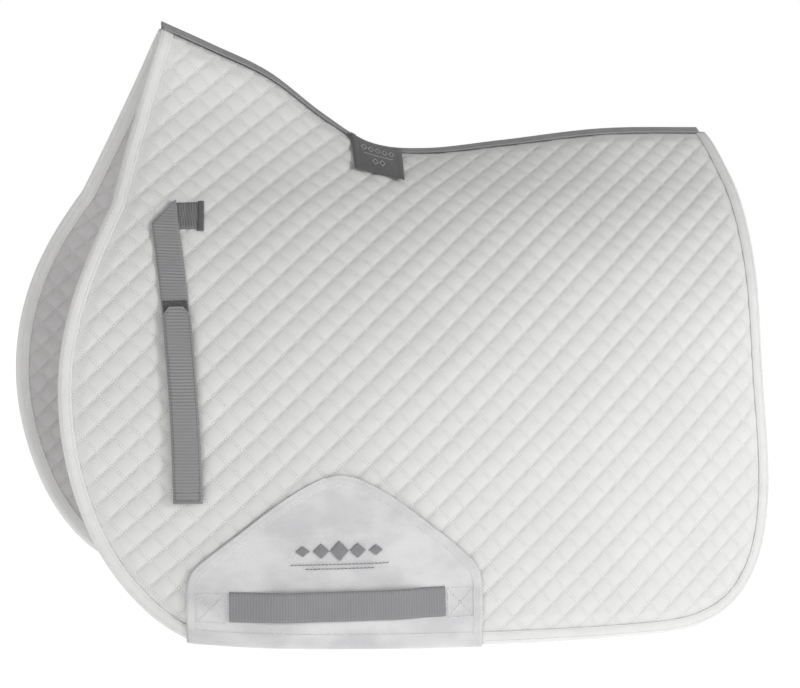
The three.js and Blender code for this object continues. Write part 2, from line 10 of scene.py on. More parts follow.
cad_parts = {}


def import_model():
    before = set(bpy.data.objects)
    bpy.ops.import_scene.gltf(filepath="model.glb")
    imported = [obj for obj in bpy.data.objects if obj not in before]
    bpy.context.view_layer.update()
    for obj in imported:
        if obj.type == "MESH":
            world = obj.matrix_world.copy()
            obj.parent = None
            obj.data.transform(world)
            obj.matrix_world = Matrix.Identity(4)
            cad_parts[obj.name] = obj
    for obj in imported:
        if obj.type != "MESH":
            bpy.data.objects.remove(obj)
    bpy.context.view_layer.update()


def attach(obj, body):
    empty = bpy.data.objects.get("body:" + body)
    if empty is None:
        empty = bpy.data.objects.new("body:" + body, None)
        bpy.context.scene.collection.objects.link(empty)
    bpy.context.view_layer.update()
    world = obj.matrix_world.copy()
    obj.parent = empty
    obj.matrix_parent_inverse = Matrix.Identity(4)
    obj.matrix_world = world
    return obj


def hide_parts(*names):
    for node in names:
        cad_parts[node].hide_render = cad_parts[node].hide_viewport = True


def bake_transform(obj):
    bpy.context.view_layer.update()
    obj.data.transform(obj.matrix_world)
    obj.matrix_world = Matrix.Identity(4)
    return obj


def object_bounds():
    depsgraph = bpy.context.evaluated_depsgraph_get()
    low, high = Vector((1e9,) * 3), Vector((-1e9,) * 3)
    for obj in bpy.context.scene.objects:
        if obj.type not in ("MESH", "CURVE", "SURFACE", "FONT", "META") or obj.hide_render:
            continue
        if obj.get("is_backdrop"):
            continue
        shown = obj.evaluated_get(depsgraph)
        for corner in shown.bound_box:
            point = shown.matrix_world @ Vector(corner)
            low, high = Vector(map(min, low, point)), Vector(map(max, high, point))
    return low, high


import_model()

MM = 0.001

# ---- driving dimensions, in metres, the same as the CAD's ----
SPINE_POINTS = MM * np.array(
    [
        (-273, 129),
        (-223, 107),
        (-164, 79),
        (-108, 37),
        (-58, 7),
        (0, 0),
        (84, 7),
        (199, 18),
        (316, 18),
    ],
    float,
)
FOLD_HALF_WIDTH = 0.080
FOLD_Z = -0.040
BOTTOM_Z = -0.467
BARREL_HALF_WIDTH = 0.238
BARREL_X = 0.040
BARREL_REACH = 0.400
BARREL_TAPER = 0.3
FRONT_FOLD_X = -0.341
REAR_FOLD_X = 0.317
RIDGE_ROUND = 0.009
RIDGE_DEPTH = 0.009
FRONT_TUCK = 0.030  # how far the lower front corner draws in
FRONT_SHOULDER, REAR_SHOULDER = 0.2, 0.4  # share of the spread taken by a section's shoulder
DIAMOND = 0.0262  # corner to corner of one quilted diamond
PATTERN_TURN = math.radians(-3.5)  # how far the quilting is turned on the panel
PATTERN_BEND = -0.1  # how much its rows sag towards the ends, per metre
PATTERN_P = 0.325 * DIAMOND  # where two quilting lines cross
PATTERN_Q = -0.025 * DIAMOND
CREASE = 0.0022  # from the middle surface to the bottom of a quilting line
PILLOW = 0.0046  # from the middle surface to the top of a diamond
EDGE_FLAT = 0.62  # how thin the pad is pressed under its binding
BINDING_WIDTH = 0.0122
CLEARANCE = 0.0003  # between pieces that lie on each other
LAYER_INSET = 0.003  # the quilted layers end this far inside the binding's fold
SPINE_INSET = 0.007


# ---- the draped surface ----
def smooth(a, b, x):
    t = np.clip((np.asarray(x, float) - a) / (b - a), 0, 1)
    return t * t * (3 - 2 * t)


def through_points(points, x):
    """A smooth curve through points in order of x, run on straight before the first."""
    xs, zs = points[:, 0], points[:, 1]
    slopes = np.empty(len(xs))
    slopes[1:-1] = (zs[2:] - zs[:-2]) / (xs[2:] - xs[:-2])
    slopes[0] = (zs[1] - zs[0]) / (xs[1] - xs[0])
    slopes[-1] = (zs[-1] - zs[-2]) / (xs[-1] - xs[-2])
    x = np.asarray(x, float)
    i = np.clip(np.searchsorted(xs, x, side="left") - 1, 0, len(xs) - 2)
    width = xs[i + 1] - xs[i]
    t = np.clip((x - xs[i]) / width, 0, 1)
    h = t * t * (3 - 2 * t)
    start = t * (1 - t) ** 2 * width * slopes[i]
    end = t * t * (t - 1) * width * slopes[i + 1]
    z = zs[i] * (1 - h) + zs[i + 1] * h + start + end
    return np.where(x < xs[0], zs[0] + slopes[0] * (x - xs[0]), z)


def spine_z(x):
    return through_points(SPINE_POINTS, x)


def barrel(x):
    return BARREL_HALF_WIDTH * (1 - BARREL_TAPER * ((x - BARREL_X) / BARREL_REACH) ** 2)


def half_width(x, z):
    """Half the distance between the two panels at a station and height."""
    x, z = np.asarray(x, float), np.asarray(z, float)
    spread = barrel(x) - FOLD_HALF_WIDTH
    share = FRONT_SHOULDER + (REAR_SHOULDER - FRONT_SHOULDER) * smooth(-0.260, -0.040, x)
    left = np.clip(1 - (FOLD_Z - z) / (FOLD_Z - BOTTOM_Z), 0, 1)
    low = FOLD_HALF_WIDTH + spread * (1 - (1 - share) * left**2 - share * left**6)
    rise = spine_z(x) - FOLD_Z
    t = (spine_z(x) - z) / rise
    slope = spread / (FOLD_Z - BOTTOM_Z) * (2 + 4 * share)
    wide = FOLD_HALF_WIDTH - RIDGE_ROUND
    m = slope * rise / wide
    ridge = RIDGE_ROUND * (1 - np.exp(-np.maximum(t * rise, 0) / RIDGE_DEPTH))
    high = wide * (t * (2 - m) + (m - 1) * t * t) + ridge
    tuck = FRONT_TUCK * smooth(-0.22, -0.46, z) * smooth(-0.20, -0.40, x)
    return np.where(z < FOLD_Z, low, high) - tuck


def on_panel(x, z, offset=0.0):
    """Points of the near panel's middle surface, pushed outwards by offset."""
    x, z = np.broadcast_arrays(np.asarray(x, float), np.asarray(z, float))
    e = 0.0005
    across_x = (half_width(x + e, z) - half_width(x - e, z)) / (2 * e)
    across_z = (half_width(x, z + e) - half_width(x, z - e)) / (2 * e)
    normal = np.stack([-across_x, -np.ones_like(x), -across_z], -1)
    normal /= np.linalg.norm(normal, axis=-1, keepdims=True)
    middle = np.stack([x, -half_width(x, z), z], -1)
    return middle + normal * np.asarray(offset)[..., None]


def bezier(points, count):
    p = MM * np.array(points, float)
    t = np.linspace(0, 1, count)[:, None]
    s = 1 - t
    return s**3 * p[0] + 3 * s * s * t * p[1] + 3 * s * t * t * p[2] + t**3 * p[3]


def joined(*parts):
    """Curves run end to end, with the doubled joints dropped."""
    return np.concatenate([parts[0]] + [part[1:] for part in parts[1:]])


def even(points, count):
    """The same line with its points spread evenly along its length."""
    step = np.linalg.norm(np.diff(points, axis=0), axis=1)
    gone = np.concatenate([[0], np.cumsum(step)])
    at = np.linspace(0, gone[-1], count)
    return np.stack([np.interp(at, gone, points[:, k]) for k in range(points.shape[1])], -1)


FRONT_EDGE = joined(
    bezier([(-341, -40), (-374, -92), (-404, -150), (-405, -222)], 60),
    bezier([(-405, -222), (-406, -330), (-345, -432), (-286, -452)], 60),
)
REAR_EDGE = joined(
    bezier([(317, -40), (312, -120), (300, -195), (301, -270)], 60),
    bezier([(301, -270), (303, -385), (292, -467), (175, -467)], 60),
)


# ---- the billet strap's places ----
STRAP_X, STRAP_WIDTH = -0.2935, 0.0254
STRAP_TOP, STRAP_BOTTOM, STRAP_LEAN = -0.0760, -0.3180, 0.0030
FOLD_CORNER = (-0.2803, -0.0410)
FOLD_TIP_Z = -0.0620
ANCHOR_LEFT, ANCHOR_RIGHT = -0.2840, -0.2525
ANCHOR_LEAN = 0.0045  # how far its foot is ahead of its top
BARTACK = 0.0062
ANCHOR_TOP, ANCHOR_BOTTOM = -0.0435, -0.0675
STRAP_UNDER = 0.0050
ANCHOR_LEVEL = STRAP_UNDER - 0.0004
RIB = 0.0030
TAB_POINT_Z, TAB_SHOULDER_Z = -0.1390, -0.1468
TAB_WIDTH = 0.0262
TAPE_MARGIN = 0.0012
TAPE = 0.0008  # how thick each half of the fastening is


def strap_middle(z):
    return STRAP_X + STRAP_LEAN * (STRAP_TOP - z) / (STRAP_TOP - STRAP_BOTTOM)


# ---- fabric coordinates: u runs along the pad, v up the panel from below its bottom edge ----
LOW_Z = BOTTOM_Z - 0.020
STATIONS = np.arange(-0.430, 0.3426, 0.0025)
SECTION_SAMPLES = 640
V_STEP = 0.0012


def section_lengths():
    """For each station, the length gone up the panel at evenly spread heights."""
    x = STATIONS[:, None]
    z = LOW_Z + np.linspace(0, 1, SECTION_SAMPLES) * (spine_z(x) - LOW_Z)
    step = np.hypot(np.diff(half_width(x, z), axis=1), np.diff(z, axis=1))
    return z, np.concatenate([np.zeros_like(x), np.cumsum(step, axis=1)], axis=1)


SECTION_Z, SECTION_V = section_lengths()
V_COUNT = int(SECTION_V.max() / V_STEP) + 2
HEIGHTS = np.stack(
    [np.interp(V_STEP * np.arange(V_COUNT), v, z) for v, z in zip(SECTION_V, SECTION_Z)]
)


def between(table, row, column):
    """The table's value at fractional rows and columns."""
    row = np.clip(row, 0, table.shape[0] - 1.001)
    column = np.clip(column, 0, table.shape[1] - 1.001)
    i, j = row.astype(int), column.astype(int)
    a, b = row - i, column - j
    low = table[i, j] * (1 - b) + table[i, j + 1] * b
    high = table[i + 1, j] * (1 - b) + table[i + 1, j + 1] * b
    return low * (1 - a) + high * a


def station_row(u):
    return (np.asarray(u, float) - STATIONS[0]) / (STATIONS[1] - STATIONS[0])


def height(u, v):
    return between(HEIGHTS, station_row(u), np.asarray(v, float) / V_STEP)


def v_at(x, z):
    """How far up the fabric a point of the side view is."""
    share = (np.asarray(z, float) - LOW_Z) / (spine_z(x) - LOW_Z)
    return between(SECTION_V, station_row(x), share * (SECTION_SAMPLES - 1))


def spine_v(u):
    return np.interp(u, STATIONS, SECTION_V[:, -1])


def slack(u, v):
    """The gentle unevenness of cloth that hangs freely, as an offset."""
    broad = np.sin(17 * u + 6 * v + 0.6) * np.sin(9 * u - 21 * v + 1.1)
    fine = np.sin(41 * u - 17 * v) * np.sin(13 * u + 37 * v + 2.0)
    return (0.0012 * broad + 0.0005 * fine) * smooth(0, 0.10, spine_v(u) - v)


def lay(u, v, offset=0.0):
    """Points on the near side at fabric coordinates, pushed out from its middle surface."""
    u, v, offset = np.broadcast_arrays(np.asarray(u, float), v, offset)
    return on_panel(u, height(u, v), offset + slack(u, v))


# ---- the outline ----
def end_line(top_x, fold_x, edge):
    """One end of the pad in side view, from the spine down to its bottom corner."""
    top = float(spine_z(top_x))
    z = np.linspace(top, FOLD_Z, 40)[:-1]
    x = top_x + (fold_x - top_x) * (top - z) / (top - FOLD_Z)
    return np.concatenate([np.stack([x, z], -1), edge])


def outline_path():
    """The bound edge in fabric coordinates: down the front, along the bottom, up the rear."""
    front = end_line(SPINE_POINTS[0, 0], FRONT_FOLD_X, FRONT_EDGE)
    rear = end_line(SPINE_POINTS[-1, 0], REAR_FOLD_X, REAR_EDGE)[::-1]
    bottom = front[-1] + (rear[0] - front[-1]) * np.linspace(0, 1, 80)[1:-1, None]
    seen = np.concatenate([front, bottom, rear])
    return even(np.stack([seen[:, 0], v_at(seen[:, 0], seen[:, 1])], -1), 560)


def left_of(path):
    """Unit directions to the left of a path."""
    along = np.gradient(path, axis=0)
    along /= np.linalg.norm(along, axis=1, keepdims=True)
    return np.stack([-along[:, 1], along[:, 0]], -1)


OUTLINE = outline_path()
OUTLINE_IN = left_of(OUTLINE)


def nearest(path, u, v):
    """For each point, the closest point of a path, and how far it is."""
    tree = KDTree(len(path))
    for i, (a, b) in enumerate(path):
        tree.insert((a, b, 0), i)
    tree.balance()
    found = [tree.find((a, b, 0)) for a, b in zip(np.ravel(u), np.ravel(v))]
    index = np.array([f[1] for f in found])
    distance = np.array([f[2] for f in found])
    return index.reshape(np.shape(u)), distance.reshape(np.shape(u))


FINE_OUTLINE = even(OUTLINE, 2400)


def free_share(u, v):
    """How free the quilting is to puff: less under the binding and beside the spine."""
    edge = nearest(FINE_OUTLINE, u, v)[1]
    return smooth(0.009, 0.026, edge) * smooth(0.006, 0.026, spine_v(u) - v)


def pattern(u, v):
    """Quilting coordinates: the lines cross at whole numbers of half diamonds."""
    straight = v - PATTERN_BEND * u * u
    c, s = math.cos(PATTERN_TURN), math.sin(PATTERN_TURN)
    return c * u + s * straight - PATTERN_P, c * straight - s * u - PATTERN_Q


def from_pattern(p, q):
    p, q = p + PATTERN_P, q + PATTERN_Q
    c, s = math.cos(PATTERN_TURN), math.sin(PATTERN_TURN)
    u = c * p - s * q
    return u, s * p + c * q + PATTERN_BEND * u * u


def thin(u, v):
    """The pad is pressed flat towards the seam along the spine."""
    return 0.4 + 0.6 * smooth(0.002, 0.030, spine_v(u) - v)


def under_strap(u, v):
    """How free the quilting is beside the billet strap, which presses it down."""
    z = height(u, v)
    beside = smooth(0.008, 0.023, np.abs(u - strap_middle(z)))
    below = smooth(STRAP_BOTTOM, STRAP_BOTTOM - 0.014, z)
    above = smooth(FOLD_TIP_Z + 0.010, FOLD_TIP_Z + 0.030, z)
    return 0.35 + 0.65 * np.maximum(beside, np.maximum(below, above))


def quilted(u, v, free):
    """The height of the quilted face over the middle surface."""
    p, q = pattern(u, v)
    a, b = (p + q) / DIAMOND, (p - q) / DIAMOND
    across_a, across_b = a - np.floor(a), b - np.floor(b)
    falling = np.clip(4 * across_a * (1 - across_a), 0, 1) ** 0.9
    rising = np.clip(4 * across_b * (1 - across_b), 0, 1) ** 0.65
    each = 0.5 + 0.5 * np.sin(12.9898 * np.floor(a) + 78.233 * np.floor(b))
    puff = (0.42 + 0.58 * falling) * rising * (0.86 + 0.14 * each)
    full = CREASE + (PILLOW - CREASE) * puff * (0.22 + 0.78 * free) * under_strap(u, v)
    return thin(u, v) * full * (EDGE_FLAT + (1 - EDGE_FLAT) * free)


# ---- meshes ----
def make(name, points, faces, uv=None, materials=(), indices=None):
    """A mesh object with smooth faces, its fabric coordinates kept as a UV map."""
    data = bpy.data.meshes.new(name)
    data.from_pydata(np.asarray(points).tolist(), [], [tuple(map(int, f)) for f in faces])
    for material in materials:
        data.materials.append(material)
    if uv is not None:
        corners = np.empty(len(data.loops), int)
        data.loops.foreach_get("vertex_index", corners)
        layer = data.uv_layers.new(name="fabric")
        layer.data.foreach_set("uv", np.asarray(uv, np.float32)[corners].ravel())
    if indices is not None:
        data.polygons.foreach_set("material_index", np.asarray(indices, np.int32))
    data.shade_smooth()
    made = bpy.data.objects.new(name, data)
    bpy.context.scene.collection.objects.link(made)
    return made


def pair(name, points, faces, **rest):
    """The near piece and its mirror image on the far side."""
    turned = [tuple(reversed(tuple(f))) for f in faces]
    return {
        "near": make("near_" + name, points, faces, **rest),
        "off": make("off_" + name, np.asarray(points) * (1, -1, 1), turned, **rest),
    }


def grid_faces(rows, columns, start=0, flip=False):
    i, j = np.meshgrid(np.arange(rows - 1), np.arange(columns - 1), indexing="ij")
    a = (start + i * columns + j).ravel()
    quads = np.stack([a, a + columns, a + columns + 1, a + 1], -1)
    return quads[:, ::-1] if flip else quads


def closed_faces(rows, columns, flip=False):
    """The faces of two equal grids, one behind the other, closed round their rims."""
    shift = rows * columns
    at = np.arange(shift).reshape(rows, columns)
    rim = np.concatenate([at[:-1, 0], at[-1, :-1], at[:0:-1, -1], at[0, :0:-1]])
    after = np.roll(rim, -1)
    first, second = (rim, after) if flip else (after, rim)
    sides = np.stack([first, second, second + shift, first + shift], -1)
    faces = [grid_faces(rows, columns, 0, flip), grid_faces(rows, columns, shift, not flip), sides]
    return np.concatenate(faces)


def plate(u, v, low, high):
    """A closed plate over a grid of fabric places whose rows run down and columns rearwards."""
    points = np.concatenate([lay(u, v, high).reshape(-1, 3), lay(u, v, low).reshape(-1, 3)])
    flat = np.stack([u, v], -1).reshape(-1, 2)
    return points, closed_faces(*u.shape), np.concatenate([flat, flat])


# ---- stitches ----
def stitches(path, offset, length=0.0026, gap=0.0009, radius=0.00036, lift=0.6):
    """Short rounded threads along a path of fabric places, each bedded in the cloth."""
    step = np.linalg.norm(np.diff(path, axis=0), axis=1)
    gone = np.concatenate([[0], np.cumsum(step)])
    count = int(gone[-1] / (length + gap))
    starts = (np.arange(count) + 0.5) * gone[-1] / count
    shape = np.array([(-0.5, 0.35), (-0.36, 0.85), (0, 1), (0.36, 0.85), (0.5, 0.35)])
    sides = 6
    turn = 2 * math.pi * np.arange(sides) / sides
    at = starts[:, None] + length * shape[None, :, 0]
    u, v = (np.interp(at, gone, path[:, k]) for k in (0, 1))
    level = np.interp(at, gone, np.broadcast_to(offset, len(path)))
    middle = lay(u, v, level + radius * lift * np.sign(level + 1e-9))
    normal = lay(u, v, level + 0.001) - lay(u, v, level)
    normal /= np.linalg.norm(normal, axis=-1, keepdims=True)
    along = np.gradient(middle, axis=1)
    across = np.cross(normal, along)
    across /= np.linalg.norm(across, axis=-1, keepdims=True)
    wide = (radius * shape[:, 1])[None, :, None, None]
    ring = normal[:, :, None] * np.sin(turn)[:, None] + across[:, :, None] * np.cos(turn)[:, None]
    points = (middle[:, :, None] + ring * wide).reshape(-1, 3)
    rings = len(shape)
    one = []
    for i in range(rings - 1):
        for j in range(sides):
            k = (j + 1) % sides
            one.append((i * sides + j, i * sides + k, (i + 1) * sides + k, (i + 1) * sides + j))
    caps = [tuple(range(sides))[::-1], tuple((rings - 1) * sides + j for j in range(sides))]
    faces = [tuple(n + s * rings * sides for n in f) for s in range(count) for f in one + caps]
    return points, faces


def merged(*meshes):
    """Points and faces of several meshes as one, with each face's number in the list."""
    points, faces, indices = [], [], []
    total = 0
    for index, (some, these) in enumerate(meshes):
        points.append(np.asarray(some))
        faces += [tuple(int(n) + total for n in f) for f in these]
        indices += [min(index, 1)] * len(these)
        total += len(some)
    return np.concatenate(points), faces, indices


def on_fabric(line):
    """Fabric coordinates of a line of stations and heights."""
    return np.stack([line[:, 0], v_at(line[:, 0], line[:, 1])], -1)


def sewn(name, base, uv, threads, materials, both_sides=True):
    """A piece with its stitches: the base takes the first material and the threads the second."""
    points, faces, indices = merged(base, *threads)
    flat = np.zeros((len(points), 2))
    flat[: len(uv)] = uv
    build = pair if both_sides else make
    return build(name, points, faces, uv=flat, materials=materials, indices=indices)


def stand_for(side, nodes):
    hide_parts(*(side + "_" + node for node in nodes))


def fix(made, nodes, body):
    """Each side's piece stands for its CAD nodes and rides on one body."""
    for side, piece in made.items():
        stand_for(side, nodes)
        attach(piece, side + "_" + body)


# ---- materials ----
class Finish:
    """One procedural material on fabric coordinates, with short calls for its nodes."""

    def __init__(self, name, roughness, sheen, uses_fabric=True):
        self.material = bpy.data.materials.new(name)
        self.material.use_nodes = True
        self.tree = self.material.node_tree
        self.shader = self.tree.nodes["Principled BSDF"]
        self.shader.inputs["Sheen Weight"].default_value = sheen
        self.shader.inputs["Sheen Roughness"].default_value = 0.45
        self.shader.inputs["Specular IOR Level"].default_value = 0.25
        self.roughness = roughness
        if uses_fabric:
            place = self.add("ShaderNodeUVMap", uv_map="fabric")
            self.vector = place.outputs["UV"]
        else:
            place = self.add("ShaderNodeTexCoord")
            self.vector = place.outputs["Object"]
        parts = self.add("ShaderNodeSeparateXYZ")
        self.link(self.vector, parts.inputs[0])
        self.u, self.v = parts.outputs[0], parts.outputs[1]

    def add(self, kind, **settings):
        node = self.tree.nodes.new(kind)
        for key, value in settings.items():
            setattr(node, key, value)
        return node

    def link(self, source, target):
        self.tree.links.new(source, target)

    def math(self, operation, *values, clamp=False):
        node = self.add("ShaderNodeMath", operation=operation, use_clamp=clamp)
        for socket, value in zip(node.inputs, values):
            if isinstance(value, (int, float)):
                socket.default_value = value
            else:
                self.link(value, socket)
        return node.outputs[0]

    def step(self, value, low, high):
        """0 below low and 1 above high, smoothly."""
        node = self.add("ShaderNodeMapRange", interpolation_type="SMOOTHSTEP")
        self.link(value, node.inputs["Value"])
        node.inputs["From Min"].default_value = low
        node.inputs["From Max"].default_value = high
        return node.outputs["Result"]

    def wave(self, value, period):
        """A sine from 0 to 1 along a coordinate."""
        swing = self.math("SINE", self.math("MULTIPLY", value, 2 * math.pi / period))
        return self.math("MULTIPLY_ADD", swing, 0.5, 0.5)

    def noise(self, scale, detail=3.0, stretch=(1, 1, 1)):
        mapping = self.add("ShaderNodeMapping")
        mapping.inputs["Scale"].default_value = stretch
        self.link(self.vector, mapping.inputs["Vector"])
        node = self.add("ShaderNodeTexNoise")
        node.inputs["Scale"].default_value = scale
        node.inputs["Detail"].default_value = detail
        self.link(mapping.outputs["Vector"], node.inputs["Vector"])
        return node.outputs["Fac"]

    def mix(self, factor, low, high, blend="MIX"):
        node = self.add("ShaderNodeMix", data_type="RGBA", blend_type=blend)
        sockets = (node.inputs[0], node.inputs[6], node.inputs[7])
        for socket, value in zip(sockets, (factor, low, high)):
            if isinstance(value, tuple):
                socket.default_value = (*value, 1)
            elif isinstance(value, (int, float)):
                socket.default_value = value
            else:
                self.link(value, socket)
        return node.outputs[2]

    def finish(self, colour, height, distance, strength=0.6):
        self.link(colour, self.shader.inputs["Base Color"])
        rough = self.add("ShaderNodeMapRange")
        self.link(self.noise(90), rough.inputs["Value"])
        rough.inputs["To Min"].default_value = self.roughness - 0.08
        rough.inputs["To Max"].default_value = self.roughness + 0.08
        self.link(rough.outputs["Result"], self.shader.inputs["Roughness"])
        bump = self.add("ShaderNodeBump")
        bump.inputs["Strength"].default_value = strength
        bump.inputs["Distance"].default_value = distance
        self.link(height, bump.inputs["Height"])
        self.link(bump.outputs["Normal"], self.shader.inputs["Normal"])
        return self.material


def quilted_cloth(name, light, dark, thread, crease_and_hole_shade):
    """Fine cotton twill with rows of stitches sunk along the quilting lines; the cloth is painted darker
    along the creases and in the needle holes, as shade.
    """
    f = Finish(name, 0.82, 0.25)
    both = f.math("ADD", f.u, f.v)
    apart = f.math("SUBTRACT", f.u, f.v)
    families = []
    for across, along in ((both, apart), (apart, both)):
        turned = f.math("DIVIDE", across, DIAMOND)
        off_line = f.math("MULTIPLY", f.math("PINGPONG", turned, 0.5), DIAMOND / math.sqrt(2))
        beat = f.math("PINGPONG", f.math("DIVIDE", along, 0.0030 * math.sqrt(2)), 0.5)
        on_line = f.math("SUBTRACT", 1, f.step(off_line, 0.0002, 0.0007))
        families.append((off_line, on_line, f.step(beat, 0.06, 0.14)))
    near_line = f.math("MINIMUM", families[0][0], families[1][0])
    threads = [f.math("MULTIPLY", line, dash) for _, line, dash in families]
    holes = [f.math("MULTIPLY", line, f.math("SUBTRACT", 1, dash)) for _, line, dash in families]
    sewn = f.math("MAXIMUM", *threads)
    pricked = f.math("MAXIMUM", *holes)
    broad = f.noise(14, 4)
    cloth = f.mix(broad, dark, light)
    nap = f.noise(900, 2)
    cloth = f.mix(f.math("MULTIPLY", nap, 0.10), cloth, dark)
    # painted shade: the cloth is darkened towards each quilting crease
    cloth = f.mix(f.math("MULTIPLY", f.step(near_line, 0.0028, 0.0), 0.16), cloth, crease_and_hole_shade)
    cloth = f.mix(f.math("MULTIPLY", sewn, 0.85), cloth, thread)
    # painted shade in the needle holes between the thread dashes
    cloth = f.mix(f.math("MULTIPLY", pricked, 0.55), cloth, crease_and_hole_shade)
    twill = f.wave(f.math("ADD", f.math("MULTIPLY", f.u, 1.0), f.math("MULTIPLY", f.v, 1.9)), 0.0011)
    puckers = f.math("MULTIPLY", f.noise(260, 3), f.step(near_line, 0.0075, 0.0))
    height = f.math("MULTIPLY_ADD", twill, 0.10, f.math("MULTIPLY", puckers, 0.9))
    height = f.math("MULTIPLY_ADD", sewn, 0.45, height)
    height = f.math("MULTIPLY_ADD", pricked, -0.6, height)
    return f.finish(cloth, height, 0.0006, 0.7)


def woven_tape(name, light, dark, warp, weft, roughness=0.8, sheen=0.2):
    """Close-woven tape: fine lengthwise lines crossed by finer picks."""
    f = Finish(name, roughness, sheen)
    lines = f.wave(f.v, warp)
    picks = f.wave(f.u, weft)
    mottle = f.noise(60, 4)
    colour = f.mix(mottle, dark, light)
    colour = f.mix(f.math("MULTIPLY", f.math("SUBTRACT", 1, picks), 0.18), colour, dark)
    height = f.math("MULTIPLY_ADD", lines, 0.5, f.math("MULTIPLY", picks, 0.6))
    return f.finish(colour, f.math("MULTIPLY_ADD", f.noise(500), 0.5, height), 0.0003)


def basket_weave(name, light, dark, cell):
    """Plain-woven nylon whose crossings show as a fine chequer, with faint creasing."""
    f = Finish(name, 0.62, 0.35)
    a = f.wave(f.math("ADD", f.u, f.v), cell)
    b = f.wave(f.math("SUBTRACT", f.u, f.v), cell)
    chequer = f.math("MULTIPLY", a, b)
    cloud = f.noise(18, 5, (1.0, 1.6, 1.0))
    colour = f.mix(f.step(cloud, 0.35, 0.65), dark, light)
    colour = f.mix(f.math("MULTIPLY", chequer, 0.6), colour, dark)
    folds = f.math("MULTIPLY", f.noise(34, 3, (1.0, 0.6, 1.0)), 3.0)
    height = f.math("MULTIPLY_ADD", chequer, 0.5, folds)
    return f.finish(colour, height, 0.0005, 0.5)


def ribbed(name, light, dark, pitch, along):
    """Heavy webbing: thick picks with fine warp threads bending over each; its colour is painted darker in
    the grooves between the picks and lighter on their crests, as shade and light.
    """
    f = Finish(name, 0.7, 0.15)
    length, width = (f.u, f.v) if along == "u" else (f.v, f.u)
    pick = f.wave(length, pitch)
    warp = f.wave(width, 0.0010)
    stretch = (0.15, 1, 1) if along == "v" else (1, 0.15, 1)
    streaks = f.noise(300, 3, stretch)
    # painted shade and light: the colour follows the picks, darker in their grooves and lighter on their
    # crests
    colour = f.mix(pick, dark, light)
    colour = f.mix(f.math("MULTIPLY", streaks, 0.5), colour, light)
    colour = f.mix(f.math("MULTIPLY", f.noise(30, 4), 0.4), colour, dark)
    height = f.math("MULTIPLY_ADD", warp, 0.35, pick)
    return f.finish(colour, height, 0.0003)


def brushed(name, light, dark, scale):
    """The looped or hooked face of a fastening tape."""
    f = Finish(name, 0.9, 0.3)
    cells = f.add("ShaderNodeTexVoronoi")
    cells.inputs["Scale"].default_value = scale
    f.link(f.vector, cells.inputs["Vector"])
    tuft = f.math("MINIMUM", f.math("MULTIPLY", cells.outputs["Distance"], 1.6), 1)
    return f.finish(f.mix(tuft, light, dark), f.math("SUBTRACT", 1, tuft), 0.0006)


def sewing_thread(name, light, dark):
    f = Finish(name, 0.6, 0.2, uses_fabric=False)
    twist = f.wave(f.math("ADD", f.u, f.v), 0.0009)
    return f.finish(f.mix(f.noise(700), dark, light), twist, 0.0001)


# the fourth tone of COVER_TONES and of LINING_TONES is painted shade for the quilting creases and the
# needle holes
COVER_TONES = ((0.735, 0.735, 0.725), (0.655, 0.655, 0.645), (0.87, 0.87, 0.86), (0.36, 0.36, 0.35))
COVER = quilted_cloth("quilted_cotton", *COVER_TONES)
LINING_TONES = ((0.59, 0.575, 0.575), (0.50, 0.49, 0.49), (0.66, 0.65, 0.65), (0.24, 0.23, 0.23))
LINING = quilted_cloth("quilted_lining", *LINING_TONES)
BINDING = woven_tape("edge_tape", (0.80, 0.80, 0.79), (0.69, 0.69, 0.68), 0.0016, 0.0009)
SPINE_TAPE = woven_tape("spine_tape", (0.36, 0.355, 0.36), (0.22, 0.218, 0.222), 0.0024, 0.0012)
PATCH_CLOTH = basket_weave("woven_nylon", (0.70, 0.70, 0.705), (0.56, 0.56, 0.57), 0.0022)
KEEPER_WEB = ribbed("ribbed_webbing_u", (0.30, 0.30, 0.31), (0.215, 0.215, 0.22), 0.0025, "u")
STRAP_WEB = ribbed("ribbed_webbing_v", (0.32, 0.318, 0.325), (0.20, 0.198, 0.203), 0.0030, "v")
HOOK_TAPE = brushed("hook_tape", (0.17, 0.17, 0.18), (0.08, 0.08, 0.085), 900)
LOOP_TAPE = brushed("loop_tape", (0.30, 0.30, 0.31), (0.17, 0.17, 0.18), 1500)
WHITE_THREAD = sewing_thread("white_thread", (0.84, 0.84, 0.83), (0.66, 0.66, 0.65))
GREY_THREAD = sewing_thread("grey_thread", (0.30, 0.30, 0.31), (0.17, 0.17, 0.175))
DARK_THREAD = sewing_thread("dark_thread", (0.15, 0.15, 0.152), (0.085, 0.085, 0.088))
LABEL_TONES = ((0.130, 0.127, 0.132), (0.085, 0.083, 0.086))
LABEL_CLOTH = woven_tape("label_cloth", *LABEL_TONES, 0.0010, 0.0007, 0.6, 0.35)
PALE_THREAD = sewing_thread("pale_thread", (0.62, 0.62, 0.61), (0.45, 0.45, 0.44))


# ---- the quilted layers ----
def layer_limit():
    """The closed line, in fabric coordinates, that the quilted layers end at."""
    ends = OUTLINE + OUTLINE_IN * LAYER_INSET
    ends = ends[ends[:, 1] < spine_v(ends[:, 0]) - SPINE_INSET]
    u = np.linspace(ends[-1, 0], ends[0, 0], 220)[1:-1]
    top = np.stack([u, spine_v(u) - SPINE_INSET], -1)
    return np.concatenate([ends, top])


LIMIT = layer_limit()


def within(path, u, v):
    """Whether each point is inside a closed path."""
    inside = np.zeros(np.shape(u), bool)
    for (a, b), (c, d) in zip(path, np.roll(path, -1, axis=0)):
        if b == d:
            continue
        crosses = (v > min(b, d)) & (v <= max(b, d))
        inside ^= crosses & (u < a + (v - b) * (c - a) / (d - b))
    return inside


